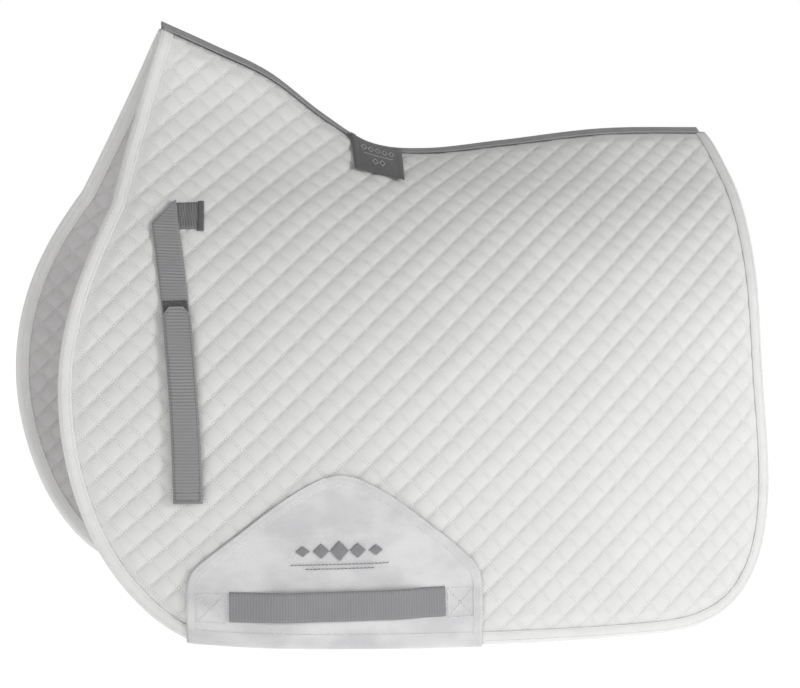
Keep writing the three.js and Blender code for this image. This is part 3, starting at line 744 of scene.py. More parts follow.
def quilted_layer(steps):
    """The fabric places and faces of one layer: a face on the quilting lattice, with a plain back.

    The lattice has a whole number of steps to a diamond, so that every quilting line runs along
    its edges and corners. The back has every second point. Cells that the outline cuts are left
    out, and the lattice's border is drawn out to the outline.
    """
    h = DIAMOND / steps
    p, q = pattern(*LIMIT.T)
    first_i, first_j = 2 * math.floor(p.min() / h / 2), 2 * math.floor(q.min() / h / 2)
    last_i, last_j = 2 * math.ceil(p.max() / h / 2), 2 * math.ceil(q.max() / h / 2)
    i, j = np.arange(first_i, last_i + 1), np.arange(first_j, last_j + 1)
    u, v = from_pattern(*np.meshgrid(i * h, j * h, indexing="ij"))
    inside = within(LIMIT, u[::2, ::2], v[::2, ::2])
    kept = inside[:-1, :-1] & inside[1:, :-1] & inside[1:, 1:] & inside[:-1, 1:]
    fine = np.repeat(np.repeat(kept, 2, 0), 2, 1)

    def corners(cells, shape):
        """For each point, how many of its four cells are kept."""
        total = np.zeros(shape, int)
        for a in (0, 1):
            for b in (0, 1):
                total[a : a + cells.shape[0], b : b + cells.shape[1]] += cells
        return total

    around = corners(fine, u.shape)
    border = (around > 0) & (around < 4)
    index, _ = nearest(LIMIT_FINE, u[border], v[border])
    u[border], v[border] = LIMIT_FINE[index].T

    count = (around > 0).sum()
    front = -np.ones(u.shape, int)
    front[around > 0] = np.arange(count)
    back = -np.ones(u[::2, ::2].shape, int)
    held = corners(kept, back.shape) > 0
    back[held] = count + np.arange(held.sum())

    a, b = np.nonzero(fine)
    low_left, low_right = front[a, b], front[a + 1, b]
    top_right, top_left = front[a + 1, b + 1], front[a, b + 1]
    falling = (i[a] + j[b] + 1) % steps == 0
    halves = (
        ((low_left, low_right, top_left), (low_left, low_right, top_right)),
        ((low_right, top_right, top_left), (low_left, top_right, top_left)),
    )
    first, second = (
        np.where(falling[:, None], np.stack(one, -1), np.stack(other, -1)) for one, other in halves
    )
    c, d = np.nonzero(kept)
    backs = np.stack([back[c, d], back[c, d + 1], back[c + 1, d + 1], back[c + 1, d]], -1)
    rim = []
    padded_cells = np.pad(kept, 1)
    for dc, dd, start, end in (
        (0, -1, (0, 0), (1, 0)),
        (1, 0, (1, 0), (1, 1)),
        (0, 1, (1, 1), (0, 1)),
        (-1, 0, (0, 1), (0, 0)),
    ):
        open_side = ~padded_cells[c + 1 + dc, d + 1 + dd]
        p, q = c[open_side], d[open_side]
        p0, q0, p1, q1 = p + start[0], q + start[1], p + end[0], q + end[1]
        from_front, to_front = front[2 * p0, 2 * q0], front[2 * p1, 2 * q1]
        middle = front[p0 + p1, q0 + q1]
        from_back, to_back = back[p0, q0], back[p1, q1]
        rim.append(np.stack([middle, from_front, from_back], -1))
        rim.append(np.stack([to_front, middle, to_back], -1))
        rim.append(np.stack([middle, from_back, to_back], -1))
    face_places = np.stack([u[around > 0], v[around > 0]], -1)
    back_places = np.stack([u[::2, ::2][held], v[::2, ::2][held]], -1)
    places = np.concatenate([face_places, back_places])
    faces = first.tolist() + second.tolist() + backs.tolist() + np.concatenate(rim).tolist()
    return places, faces, count


LIMIT_FINE = even(np.concatenate([LIMIT, LIMIT[:1]]), 3200)


def bend_at_fold(piece):
    """Bakes the piece's placement into its points."""
    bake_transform(piece)


def quilting(name, steps, outwards, material, nodes):
    """One quilted layer on both sides, its puffed face outwards (1) or inwards (-1)."""
    places, faces, count = quilted_layer(steps)
    u, v = places.T
    level = np.full(len(u), 0.0002)
    level[:count] = quilted(u[:count], v[:count], free_share(u[:count], v[:count]))
    points = lay(u, v, level * outwards)
    if outwards < 0:
        faces = [f[::-1] for f in faces]
    uv = np.stack(pattern(u, v), -1)
    made = pair(name, points, faces, uv=uv, materials=[material])
    for side, piece in made.items():
        stand_for(side, nodes)
        bend_at_fold(piece)


COVER_NODES = ("upper_cover", "upper_wadding", "panel_cover", "panel_wadding")
quilting("quilted_cover", 12, 1, COVER, COVER_NODES)
quilting("quilted_lining", 8, -1, LINING, ("upper_lining", "panel_lining"))


# ---- the edge binding ----
def sweep(path, inwards, section):
    """A closed band along a path: its section is a ring of (distance inwards, offset) pairs."""
    distance, offset = np.array(section).T
    place = path[:, None] + inwards[:, None] * distance[:, None]
    u, v = place[..., 0], place[..., 1]
    points = lay(u, v, thin(u, v) * offset)
    rows, ring = u.shape
    faces = []
    for k in range(ring):
        low = np.arange(rows - 1) * ring + k
        high = np.arange(rows - 1) * ring + (k + 1) % ring
        faces.append(np.stack([low, high, high + ring, low + ring], -1))
    half = ring // 2
    caps = []
    for k in range(half - 1):
        quad = (k, ring - 1 - k, ring - 2 - k, k + 1)
        caps.append(quad)
        caps.append(tuple((rows - 1) * ring + n for n in quad[::-1]))
    turned = np.concatenate(faces).tolist() + [tuple(c) for c in caps]
    return points.reshape(-1, 3), turned


def binding_section():
    """A folded band in section: its outside over the edge, then its inside back again."""
    leg = [
        (BINDING_WIDTH, 0.0019),
        (BINDING_WIDTH, 0.0026),
        (BINDING_WIDTH - 0.0006, 0.0030),
        (BINDING_WIDTH - 0.0020, 0.0030),
        (BINDING_WIDTH - 0.0036, 0.0035),
        (0.0080, 0.0037),
        (0.0045, 0.0037),
        (0.0022, 0.0034),
        (0.0006, 0.0026),
        (-0.0004, 0.0014),
    ]
    lining = [(BINDING_WIDTH - 0.0003, 0.0019)] + [(d, 0.0021) for d in (0.010, 0.008, 0.006, 0.004)]
    lining += [(0.0028, 0.0020), (0.0019, 0.0015), (0.0014, 0.0010), (0.0012, 0.0005)]
    outside = leg + [(d, -o) for d, o in reversed(leg)]
    inside = lining + [(d, -o) for d, o in reversed(lining)]
    return outside + inside[::-1]


def trimmed(path, inwards, gap):
    """The stretch of an outline that stays a given way below the spine."""
    keep = path[:, 1] < spine_v(path[:, 0]) - gap
    return path[keep], inwards[keep]


EDGE_ROWS = ((BINDING_WIDTH - 0.0020, 0.0030), (0.0034, 0.0036))


def edge_binding():
    path, inwards = trimmed(OUTLINE, OUTLINE_IN, 0.0035)
    section = binding_section()
    points, faces = sweep(path, inwards, section)
    pace = np.linalg.norm(path[1] - path[0])
    along = np.repeat(np.arange(len(path)) * pace, len(section))
    across = np.tile(np.array(section)[:, 0], len(path))
    threads = []
    for distance, offset in EDGE_ROWS:
        line = path + inwards * distance
        for face in (1, -1):
            level = face * offset * thin(line[:, 0], line[:, 1])
            threads.append(stitches(line, level))
    uv = np.stack([along, across], -1)
    made = sewn("edge_binding", (points, faces), uv, threads, [BINDING, WHITE_THREAD])
    for side, piece in made.items():
        stand_for(side, ("upper_front_binding", "upper_rear_binding", "panel_binding"))
        bend_at_fold(piece)


edge_binding()


# ---- the spine ----
def spine_tape_leg(u):
    """How far the tape reaches down each side: a little further towards the rear."""
    return 0.0068 + 0.0022 * smooth(-0.20, -0.05, u)


def spine_tape():
    """Tape folded over the ridge, from the front edge to the rear, with a row of stitches on each side."""
    u = np.linspace(SPINE_POINTS[0, 0] - 0.0005, SPINE_POINTS[-1, 0] - 0.0080, 240)[:, None]
    legs = spine_tape_leg(u) * np.array([1, 0.96, 0.88, 0.76, 0.64, 0.52])

    def half(level, edge):
        offset = np.full(legs.shape, level)
        offset[:, 0] = edge
        return lay(u, spine_v(u) - legs, offset)

    def crossing(level, edge, lift):
        near = half(level, edge)
        foot = near[:, -1]
        top = spine_z(u[:, 0]) + lift
        rings = [near]
        for t in (0.75, 0.45, 0.15, -0.15, -0.45, -0.75):
            y, z = foot[:, 1] * t, top + (foot[:, 2] - top) * t * t
            rings.append(np.stack([u[:, 0], y, z], -1)[:, None])
        rings.append(near[:, ::-1] * (1, -1, 1))
        return np.concatenate(rings, axis=1)

    outside = crossing(0.0034, 0.0026, 0.0036)
    inside = crossing(0.0020, 0.0018, 0.0022)
    points = np.concatenate([outside.reshape(-1, 3), inside.reshape(-1, 3)])
    faces = closed_faces(*outside.shape[:2], True)
    step = np.linalg.norm(np.diff(outside, axis=1), axis=-1).mean(axis=0)
    across = np.concatenate([[0], np.cumsum(step)])
    flat = np.stack(np.broadcast_arrays(u, across[None]), -1).reshape(-1, 2)
    line_u = np.linspace(u[0, 0] + 0.003, u[-1, 0] - 0.003, 300)
    line = np.stack([line_u, spine_v(line_u) - spine_tape_leg(line_u) + 0.0018], -1)
    near_points, near_faces = stitches(line, np.full(len(line), 0.0033))
    far_faces = [f[::-1] for f in near_faces]
    threads = [(near_points, near_faces), (near_points * (1, -1, 1), far_faces)]
    uv = np.concatenate([flat, flat])
    made = sewn("spine_tape", (points, faces), uv, threads, [SPINE_TAPE, GREY_THREAD], False)
    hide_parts("spine_binding")
    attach(made, "back")


spine_tape()


# ---- the girth patch ----
PATCH_FRONT, PATCH_REAR = -0.2935, -0.0200
PATCH_APEX_X, PATCH_APEX_Z = -0.1520, -0.2940
PATCH_TOP = np.array(
    [(0, 0), (4, 0.13), (22, 0.37), (52, 0.66), (78, 0.89), (90, 0.97), (106, 1)], float
) * (MM, 1)
PATCH_UNDER = 0.0056
PATCH_THICKNESS = 0.0008
PATCH_DEPTH = 0.106  # from the apex to where the sides run straight
BORDER_ROW, HEM = 0.0018, 0.0085  # the two rows of stitches round the patch, from its edge


def bottom_edge_z(x):
    start, end = FRONT_EDGE[-1], REAR_EDGE[-1]
    inner = start[1] + (x - start[0]) * (end[1] - start[1]) / (end[0] - start[0])
    return np.where(x >= start[0], inner, start[1] + (start[0] - x) * 0.12)


def patch_sides(z):
    share = np.minimum(through_points(PATCH_TOP, PATCH_APEX_Z - z), 1)
    return (
        PATCH_APEX_X + (PATCH_FRONT - PATCH_APEX_X) * share,
        PATCH_APEX_X + (PATCH_REAR - PATCH_APEX_X) * share,
    )


def patch_border():
    """The patch's edge in fabric coordinates, from its bottom front corner over the top."""
    straight = np.linspace(-0.451, -0.400, 30)[:-1]
    z = np.concatenate([straight, PATCH_APEX_Z - PATCH_DEPTH * np.linspace(1, 0, 90) ** 1.8])
    left, right = patch_sides(z)
    x = np.concatenate([left, right[::-1][1:]])
    z = np.concatenate([z, z[::-1][1:]])
    return even(np.stack([x, v_at(x, z)], -1), 400)


PATCH_BORDER = patch_border()
PATCH_IN = -left_of(PATCH_BORDER)


def patch_grid():
    """Fabric places of the patch, row by row from its rounded top to the fold under the edge."""
    t = np.linspace(0.02, 1, 70)
    z = PATCH_APEX_Z - (PATCH_DEPTH + 0.040) * t**1.5
    left, right = patch_sides(z)
    columns = np.linspace(0, 1, 90)
    x = left[:, None] + (right - left)[:, None] * columns
    v = v_at(x, np.broadcast_to(z[:, None], x.shape))
    last_x = x[-1]
    edge_v = v_at(last_x, bottom_edge_z(last_x))
    extra = [edge_v + (v[-1] - edge_v) * s for s in (0.75, 0.5, 0.25, 0.1, 0, -0.12)]
    u = np.concatenate([x, np.repeat(last_x[None], len(extra), 0)])
    return u, np.concatenate([v, extra]), edge_v


PATCH_U, PATCH_V, PATCH_EDGE_V = patch_grid()


def patch_level(u, v):
    """The underside of the patch: it lies on the quilting and is drawn in along its stitches."""
    _, border = nearest(PATCH_BORDER, u, v)
    _, bottom = nearest(FINE_OUTLINE, u, v)
    drawn = 0.0003 * sum(np.exp(-(((border - row) / 0.0012) ** 2)) for row in (BORDER_ROW, HEM))
    billow = 0.0003 * np.sin(43 * u + 9 * v) * np.sin(61 * v - 23 * u) * smooth(0.010, 0.04, border)
    return PATCH_UNDER - drawn + billow - 0.0016 * smooth(0.026, 0.012, bottom)


def girth_patch():
    u, v = PATCH_U, PATCH_V
    low = patch_level(u, v)
    _, border = nearest(PATCH_BORDER, u, v)
    doubled = 0.0005 * smooth(HEM + 0.0010, HEM - 0.0004, border)
    high = low + PATCH_THICKNESS + doubled
    below = np.clip((PATCH_EDGE_V - v) / 0.0022, 0, 1)
    high -= 0.0026 * below
    low -= 0.0026 * below
    points, faces, uv = plate(u, v, low, high)
    lines = []
    for distance in (BORDER_ROW, HEM):
        line = PATCH_BORDER + PATCH_IN * distance
        lines.append(line[line[:, 1] > np.interp(line[:, 0], PATCH_U[-1], PATCH_EDGE_V) + 0.004])
    bottom_u = np.linspace(PATCH_FRONT + HEM, PATCH_REAR - HEM, 200)
    bottom_v = np.interp(bottom_u, PATCH_U[-1], PATCH_EDGE_V) + 0.0125
    lines.append(np.stack([bottom_u, bottom_v], -1))
    threads = [
        stitches(line, patch_level(*line.T) + PATCH_THICKNESS + CLEARANCE, radius=0.00038)
        for line in lines
    ]
    made = sewn("wear_patch", (points, faces), uv, threads, [PATCH_CLOTH, WHITE_THREAD])
    fix(made, ("girth_patch",), "panel")


girth_patch()
PATCH_TOP_LEVEL = PATCH_UNDER + PATCH_THICKNESS + CLEARANCE


# ---- the keeper webbing on the patch ----
KEEPER_FRONT, KEEPER_REAR = -0.2560, -0.0570
KEEPER_TOP, KEEPER_BOTTOM = -0.4015, -0.4300
KEEPER_SEAT = 0.016
KEEPER_RAMP = 0.040
KEEPER_RISE = 0.0025
KEEPER_RIB = 0.0025
WEBBING = 0.0015


def girth_keeper():
    """Ribbed webbing sewn flat at both ends and bowed off the patch between them."""
    x = np.linspace(KEEPER_FRONT, KEEPER_REAR, 640)
    share = np.linspace(0, 1, 13)[:, None]
    x, z = np.broadcast_arrays(x, KEEPER_TOP + (KEEPER_BOTTOM - KEEPER_TOP) * share)
    v = v_at(x, z)
    start, end = KEEPER_FRONT + KEEPER_SEAT, KEEPER_REAR - KEEPER_SEAT
    lift = smooth(start, start + KEEPER_RAMP, x) * smooth(end, end - KEEPER_RAMP, x)
    low = patch_level(x, v) + PATCH_THICKNESS + CLEARANCE
    face = lay(x, v, low)
    first, last = (np.argmin(abs(x[0] - at)) for at in (start + KEEPER_RAMP, end - KEEPER_RAMP))
    front_y, rear_y = face[:, first, 1].min(), face[:, last, 1].min()
    flat_y = front_y + (rear_y - front_y) * (x - x[0, first]) / (x[0, last] - x[0, first]) - KEEPER_RISE
    bowed = face[..., 1] + (np.minimum(flat_y, face[..., 1] - 0.002) - face[..., 1]) * lift
    rib = 0.00030 * (np.abs(np.sin(np.pi * x / KEEPER_RIB)) ** 0.6 - 1)
    edge = np.minimum(share, 1 - share) * (KEEPER_TOP - KEEPER_BOTTOM)
    round_edge = -0.0006 * (1 - np.clip(edge / 0.0012, 0, 1)) ** 2
    inner = face.copy()
    inner[..., 1] = bowed
    outer = inner.copy()
    outer[..., 1] -= WEBBING + rib + round_edge
    outer[..., 1] = np.minimum(outer[..., 1], inner[..., 1] - 0.0004)
    _, faces, uv = plate(x, v, 0, 0)
    points = np.concatenate([outer.reshape(-1, 3), inner.reshape(-1, 3)])
    made = pair("girth_keeper_webbing", points, faces, uv=uv, materials=[KEEPER_WEB])
    fix(made, ("girth_keeper",), "panel")


girth_keeper()


def box_stitch(end, x):
    """A sewn rectangle with both its diagonals."""
    corners = [(x, BOX_TOP), (x + BOX, BOX_TOP), (x + BOX, BOX_BOTTOM), (x, BOX_BOTTOM)]
    rows = []
    for a, b in ((0, 1), (1, 2), (2, 3), (3, 0), (0, 2), (1, 3)):
        line = on_fabric(np.linspace(corners[a], corners[b], 24))
        rows.append(stitches(line, np.full(len(line), PATCH_TOP_LEVEL), lift=0.7))
    points, faces, _ = merged(*rows)
    made = pair(end + "_box_stitches", points, faces, materials=[WHITE_THREAD])
    fix(made, (end + "_stitch_box",), "panel")


BOX = 0.0255
BOX_TOP, BOX_BOTTOM = -0.4035, -0.4315
BOX_GAP = 0.0025
box_stitch("front", KEEPER_FRONT - BOX_GAP - BOX)
box_stitch("rear", KEEPER_REAR + BOX_GAP)


# ---- the embroidered motif on the patch ----
def lozenge(x, z, half_wide, half_high, level, rise, count=14):
    """A raised four-cornered pad of satin stitch."""
    across = np.linspace(-1, 1, count)
    down = np.linspace(1, -1, count)[:, None]
    u = x + half_wide * (across - down) / 2
    z_at = z + half_high * (across + down) / 2
    u, z_at = np.broadcast_arrays(u, z_at)
    v = v_at(u, z_at)
    crown = np.sqrt(np.clip((1 - across**2) * (1 - down**2), 0, 1)) * rise
    satin = 0.00008 * np.sin(2 * np.pi * z_at / 0.0012)
    return plate(u, v, level, level + 0.0002 + crown + satin * (crown > 0))


def embroidery(places, bars, level):
    """Several lozenges and straight bars of stitches as one piece."""
    rows = [lozenge(*place, level, 0.0006)[:2] for place in places]
    points, faces, _ = merged(*rows)
    for x0, x1, z0, z1 in bars:
        line = on_fabric(np.linspace((x0, z0), (x1, z1), 60))
        some, these = stitches(line, np.full(60, level + 0.0002), 0.0030, 0.0005, 0.0005)
        these = [tuple(n + len(points) for n in f) for f in these]
        points, faces = np.concatenate([points, some]), faces + these
    made = pair("lozenge_embroidery", points, faces, materials=[GREY_THREAD])
    fix(made, ("emblem",), "panel")


EMBLEM_X, EMBLEM_Z = -0.1560, -0.3640
EMBLEM_PITCH = 0.0170
SMALL, MIDDLING, LARGE = (0.0065, 0.0050), (0.0075, 0.0070), (0.0085, 0.0095)
EMBLEM_SIZES = (SMALL, MIDDLING, LARGE, MIDDLING, SMALL)
EMBLEM_BARS = ((0.046, 0.0125), (0.032, 0.0165))
motif_places = [
    (EMBLEM_X + (n - 2) * EMBLEM_PITCH, EMBLEM_Z, *size) for n, size in enumerate(EMBLEM_SIZES)
]
motif_bars = [(EMBLEM_X - w, EMBLEM_X + w, EMBLEM_Z - d, EMBLEM_Z - d) for w, d in EMBLEM_BARS]
embroidery(motif_places, motif_bars, PATCH_TOP_LEVEL + 0.0006)


# ---- the billet strap ----
def ribs(along, deep=0.00032, pitch=RIB):
    return deep * (np.abs(np.sin(np.pi * along / pitch)) ** 0.7 - 1)


def selvedge(across):
    """The rounding of a webbing's two edges; across runs from -1 to 1."""
    return -0.0006 * np.clip((np.abs(across) - 0.88) / 0.12, 0, 1) ** 2


def on_strap(z, across, left, right, under, thick, top_relief):
    """A plate along the strap between two side lines given at each height."""
    x = (left + right)[:, None] / 2 + (right - left)[:, None] / 2 * across
    z = np.broadcast_to(z[:, None], x.shape)
    v = v_at(x, z)
    return plate(x, v, under, under + thick + top_relief)


def hinge_ends(x, z, reach):
    """Two points on the panel, the given reaches above and below a place on it."""
    x, y, _ = lay(x, v_at(x, z))
    return [(float(x), float(y), z + dz) for dz in reach]


def billet_strap():
    """The strap with its folded corner: it comes off the anchor, turns down and hangs."""
    z = np.linspace(FOLD_CORNER[1] - 0.0012, STRAP_BOTTOM, 660)
    across = np.linspace(-1, 1, 13)
    middle = strap_middle(np.minimum(z, FOLD_TIP_Z))
    tip = strap_middle(FOLD_TIP_Z) - STRAP_WIDTH / 2
    share = np.clip((FOLD_CORNER[1] - z) / (FOLD_CORNER[1] - FOLD_TIP_Z), 0, 1)
    corner_x = FOLD_CORNER[0]
    left = np.where(z > FOLD_TIP_Z, corner_x + (tip - corner_x) * share, middle - STRAP_WIDTH / 2)
    straight = middle + STRAP_WIDTH / 2
    right = np.where(z > FOLD_TIP_Z, corner_x + (straight - corner_x) * share, straight)
    right = np.maximum(right, left + 0.001)
    over_fold = 0.0012 * smooth(FOLD_TIP_Z - 0.018, FOLD_TIP_Z, z)[:, None]
    tilt = z[:, None] + 0.0012 * across
    relief = ribs(tilt) + selvedge(across)
    points, faces, uv = on_strap(z, across, left, right, STRAP_UNDER, WEBBING, relief + over_fold)
    made = pair("billet_strap", points, faces, uv=uv, materials=[STRAP_WEB])
    hinge = hinge_ends(STRAP_X, STRAP_TOP, (0.006, -0.006))
    for side, piece in made.items():
        stand_for(side, ("strap_turn", "strap_webbing"))
        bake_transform(piece)


billet_strap()


def lean(x, z):
    """The anchor's foot is a little ahead of its top."""
    return x - ANCHOR_LEAN * (ANCHOR_TOP - z) / (ANCHOR_TOP - ANCHOR_BOTTOM)


def anchor():
    """The short sewn-down run of webbing that the strap folds out of."""
    x = np.linspace(ANCHOR_LEFT, ANCHOR_RIGHT - BARTACK, 110)
    z = np.linspace(ANCHOR_TOP, ANCHOR_BOTTOM, 14)
    xx, zz = np.meshgrid(x, z)
    across = np.linspace(-1, 1, 14)[:, None]
    relief = ribs(xx, 0.00045, 0.0026) + selvedge(across)
    leaning = lean(xx, zz)
    dip = -0.0004 * (np.sin(np.pi * (xx - x[0]) / 0.009) ** 2)
    tucked = -0.0012 * smooth(-0.2795, -0.2815, xx)
    high = ANCHOR_LEVEL + 0.0013 + relief + dip + tucked
    points, faces, uv = plate(leaning, v_at(leaning, zz), ANCHOR_LEVEL - 0.0004, high)
    made = pair("anchor_block", points, faces, uv=uv, materials=[ANCHOR_WEB])
    fix(made, ("strap_anchor",), "panel")


def bar_tack():
    """A dense column of satin stitch across the end of the anchor block."""
    x = np.linspace(ANCHOR_RIGHT - BARTACK + 0.0003, ANCHOR_RIGHT, 12)
    z = np.linspace(ANCHOR_TOP + 0.0002, ANCHOR_BOTTOM - 0.0022, 150)
    xx, zz = np.meshgrid(x, z)
    across = np.linspace(-1, 1, 12)
    satin = 0.00022 * np.abs(np.sin(np.pi * (zz + 0.25 * xx) / 0.0010))
    high = ANCHOR_LEVEL + 0.0010 + 0.0012 * np.sqrt(np.clip(1 - across**2, 0, 1)) + satin
    leaning = lean(xx, zz)
    points, faces, uv = plate(leaning, v_at(leaning, zz), ANCHOR_LEVEL - 0.0004, high)
    made = pair("bar_tack", points, faces, uv=uv, materials=[DARK_THREAD])
    fix(made, ("anchor_bartack",), "panel")


ANCHOR_WEB = ribbed("ribbed_webbing_dark", (0.235, 0.233, 0.238), (0.115, 0.113, 0.117), 0.0026, "u")
anchor()
bar_tack()


def tape(name, node, body, top, level, material):
    """A strip of hook or loop tape between the strap and its closing tab."""
    z = np.linspace(top, STRAP_BOTTOM + 0.010, 90)
    across = np.linspace(-1, 1, 9)
    middle = strap_middle(z)
    half = STRAP_WIDTH / 2 - TAPE_MARGIN
    points, faces, uv = on_strap(z, across, middle - half, middle + half, level, TAPE, 0)
    fix(pair(name, points, faces, uv=uv, materials=[material]), (node,), body)


HOOK_LEVEL = STRAP_UNDER + WEBBING + CLEARANCE
LOOP_LEVEL = HOOK_LEVEL + TAPE + CLEARANCE
TAB_LEVEL = LOOP_LEVEL + TAPE + CLEARANCE
tape("hook_tape", "strap_hook_tape", "strap", TAB_POINT_Z + 0.006, HOOK_LEVEL, HOOK_TAPE)
tape("loop_tape", "tab_loop_tape", "tab", TAB_SHOULDER_Z - 0.003, LOOP_LEVEL, LOOP_TAPE)


def closing_tab():
    """The upper webbing, sewn to the strap's end, with a blunt point and stitched borders."""
    across = np.linspace(-1, 1, 15)
    z_side = np.linspace(TAB_SHOULDER_Z, STRAP_BOTTOM, 480)
    rise = (TAB_POINT_Z - TAB_SHOULDER_Z) * np.clip((1 - np.abs(across)) / 0.5, 0, 1)
    fade = smooth(TAB_SHOULDER_Z - 0.012, TAB_SHOULDER_Z, z_side)
    z = z_side[:, None] + rise * fade[:, None]
    x = strap_middle(z) + TAB_WIDTH / 2 * across
    pressed = -0.0006 * smooth(STRAP_BOTTOM + 0.013, STRAP_BOTTOM + 0.009, z_side)[:, None]
    crown = 0.0005 * (1 - across**2) + pressed
    high = TAB_LEVEL + WEBBING + ribs(z, 0.00036) + selvedge(across) + crown
    points, faces, uv = plate(x, v_at(x, z), TAB_LEVEL, high)
    top = TAB_LEVEL + WEBBING - 0.0001
    half = TAB_WIDTH / 2 - 0.0021
    side_z = np.linspace(STRAP_BOTTOM + 0.003, TAB_SHOULDER_Z - 0.001, 200)
    lines = [np.stack([strap_middle(side_z) + s * half, side_z], -1) for s in (-1, 1)]
    for end_z in (STRAP_BOTTOM + 0.0028, STRAP_BOTTOM + 0.0105):
        ends = [(float(strap_middle(end_z)) + s * half, end_z) for s in (-1, 1)]
        lines.append(np.linspace(*ends, 20))
    peaks = [(float(strap_middle(TAB_POINT_Z)) + s * half / 2, TAB_POINT_Z - 0.0022) for s in (-1, 1)]
    for s, peak in zip((-1, 1), peaks):
        shoulder = (float(strap_middle(TAB_SHOULDER_Z)) + s * half, TAB_SHOULDER_Z - 0.001)
        lines.append(np.linspace(shoulder, peak, 20))
    lines.append(np.linspace(*peaks, 20))
    threads = [
        stitches(on_fabric(line), np.full(len(line), top), 0.0022, 0.0008, 0.0003) for line in lines
    ]
    made = sewn("closing_tab_webbing", (points, faces), uv, threads, [STRAP_WEB, DARK_THREAD])
    foot = hinge_ends(float(strap_middle(STRAP_BOTTOM)), STRAP_BOTTOM, (0.001, 0.010))
    for side, piece in made.items():
        stand_for(side, ("closing_tab",))
        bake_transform(piece)


closing_tab()


# ---- the size label on the spine ----
LABEL_TOP = (-0.0840, -0.0285)
LABEL_BOTTOM = (-0.0925, -0.0440)
LABEL_BOTTOM_Z = (-0.0185, -0.0310)
LABEL_UNDER = 0.0052


def label_place(a, t):
    """Fabric coordinates at a share across the label and a share of the way down it."""
    top = LABEL_TOP[0] + (LABEL_TOP[1] - LABEL_TOP[0]) * a
    low = LABEL_BOTTOM[0] + (LABEL_BOTTOM[1] - LABEL_BOTTOM[0]) * a
    low_z = LABEL_BOTTOM_Z[0] + (LABEL_BOTTOM_Z[1] - LABEL_BOTTOM_Z[0]) * a
    top_v, low_v = spine_v(top) - spine_tape_leg(top) - 0.0004, v_at(low, low_z)
    return top + (low - top) * t, top_v + (low_v - top_v) * t


def label_level(a, t):
    curl = 0.0022 * t**3 * (0.4 + 0.6 * (2 * a - 1) ** 2)
    return LABEL_UNDER + curl + 0.0010 * np.sin(np.pi * a) * t


def lozenge_line(centre_a, centre_t):
    """A closed four-cornered line in shares of the label."""
    corner_a, corner_t = (-0.055, 0, 0.055, 0, -0.055), (0, 0.085, 0, -0.085, 0)
    along = np.arange(0, 4.01, 0.1)
    path_a = np.interp(along, range(5), [centre_a + c for c in corner_a])
    path_t = np.interp(along, range(5), [centre_t + c for c in corner_t])
    return path_a, path_t


def label_stitches(a, t, radius):
    line = np.stack(label_place(a, t), -1)
    return stitches(line, label_level(a, t) + 0.0010, 0.0012, 0.0001, radius)


def size_label():
    """A woven label caught in the spine seam, its sides folded under."""
    a, t = np.meshgrid(np.linspace(0, 1, 50), np.linspace(0, 1, 40))
    u, v = label_place(a, t)
    low = label_level(a, t)
    side_fold = 0.0006 * smooth(0.10, 0.085, np.minimum(a, 1 - a))
    rounded = -0.0004 * smooth(0.02, 0, np.minimum(a, 1 - a))
    points, faces, uv = plate(u, v, low, low + 0.0009 + side_fold + rounded)
    centres = [(0.22 + 0.14 * n, 0.30) for n in range(5)] + [(0.43, 0.68), (0.57, 0.68)]
    threads = [label_stitches(*lozenge_line(*centre), 0.00035) for centre in centres]
    threads.append(label_stitches(np.linspace(0.2, 0.8, 40), np.full(40, 0.48), 0.0003))
    made = sewn("woven_size_label", (points, faces), uv, threads, [LABEL_CLOTH, PALE_THREAD], False)
    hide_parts("size_label")
    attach(made, "size_label")


size_label()


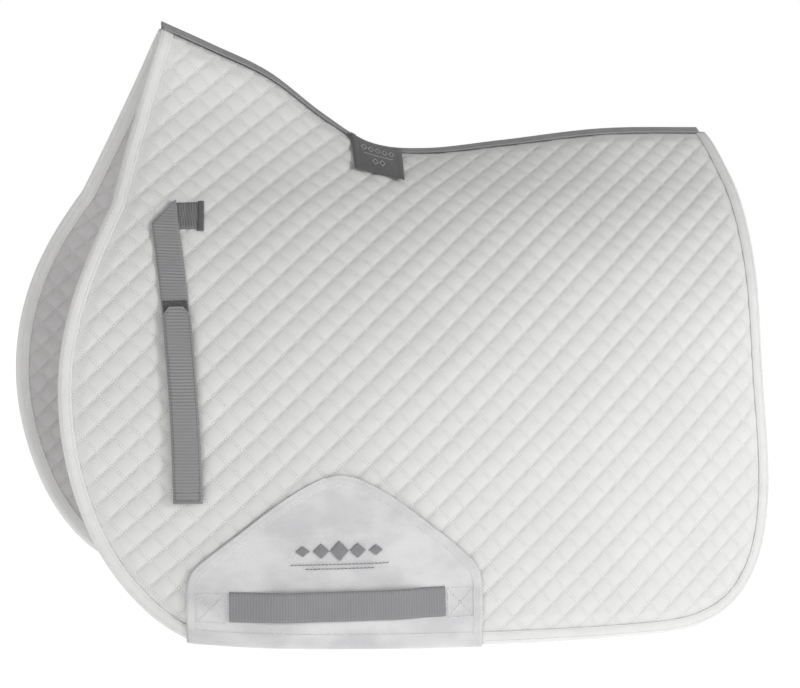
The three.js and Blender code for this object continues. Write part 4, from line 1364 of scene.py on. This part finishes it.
# ---- floor, light and camera ----
def floor():
    data = bpy.data.meshes.new("floor")
    size = 12.0
    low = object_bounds()[0][2] - 0.0005
    corners = [(-size, -size, low), (size, -size, low), (size, size, low), (-size, size, low)]
    data.from_pydata(corners, [], [(0, 1, 2, 3)])
    made = bpy.data.objects.new("floor", data)
    bpy.context.scene.collection.objects.link(made)
    material = bpy.data.materials.new("floor")
    material.use_nodes = True
    shader = material.node_tree.nodes["Principled BSDF"]
    shader.inputs["Base Color"].default_value = (0.55, 0.55, 0.55, 1)
    shader.inputs["Roughness"].default_value = 0.9
    shader.inputs["Emission Color"].default_value = (1, 1, 1, 1)
    shader.inputs["Emission Strength"].default_value = 0.82
    data.materials.append(material)
    made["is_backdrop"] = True


floor()


def soft_light(name, place, target, size, power):
    data = bpy.data.lights.new(name, "AREA")
    data.shape = "DISK"
    data.size = size
    data.energy = power
    made = bpy.data.objects.new(name, data)
    made.location = place
    made.rotation_euler = (Vector(target) - Vector(place)).to_track_quat("-Z", "Y").to_euler()
    bpy.context.scene.collection.objects.link(made)


MIDDLE = (0.0, 0.0, -0.20)
soft_light("key", (1.45, -1.95, 0.42), MIDDLE, 0.7, 26)
soft_light("fill", (-1.9, -2.2, 0.5), MIDDLE, 1.6, 12)
soft_light("back", (-1.4, 2.2, 1.6), MIDDLE, 1.4, 10)


def world():
    made = bpy.data.worlds.new("studio")
    made.use_nodes = True
    background = made.node_tree.nodes["Background"]
    background.inputs["Color"].default_value = (1, 1, 1, 1)
    background.inputs["Strength"].default_value = 0.31
    scene = bpy.context.scene
    scene.world = made
    tree = made.node_tree
    seen = tree.nodes.new("ShaderNodeBackground")
    seen.inputs["Color"].default_value = (1, 1, 1, 1)
    seen.inputs["Strength"].default_value = 1.0
    path = tree.nodes.new("ShaderNodeLightPath")
    choose = tree.nodes.new("ShaderNodeMixShader")
    tree.links.new(path.outputs["Is Camera Ray"], choose.inputs["Fac"])
    tree.links.new(background.outputs[0], choose.inputs[1])
    tree.links.new(seen.outputs[0], choose.inputs[2])
    tree.links.new(choose.outputs[0], tree.nodes["World Output"].inputs["Surface"])
    scene.view_settings.view_transform = "Standard"


world()


def camera():
    azimuth, elevation = math.radians(-17.95), math.radians(7.51)
    distance = 2.403
    target = Vector((-0.0253, 0.0, -0.1998))
    back = Vector(
        (
            math.sin(azimuth) * math.cos(elevation),
            -math.cos(azimuth) * math.cos(elevation),
            math.sin(elevation),
        )
    )
    data = bpy.data.cameras.new("camera")
    data.lens = 103.8
    made = bpy.data.objects.new("camera", data)
    made.location = target + back * distance
    made.rotation_euler = (-back).to_track_quat("-Z", "Y").to_euler()
    bpy.context.scene.collection.objects.link(made)
    bpy.context.scene.camera = made


camera()
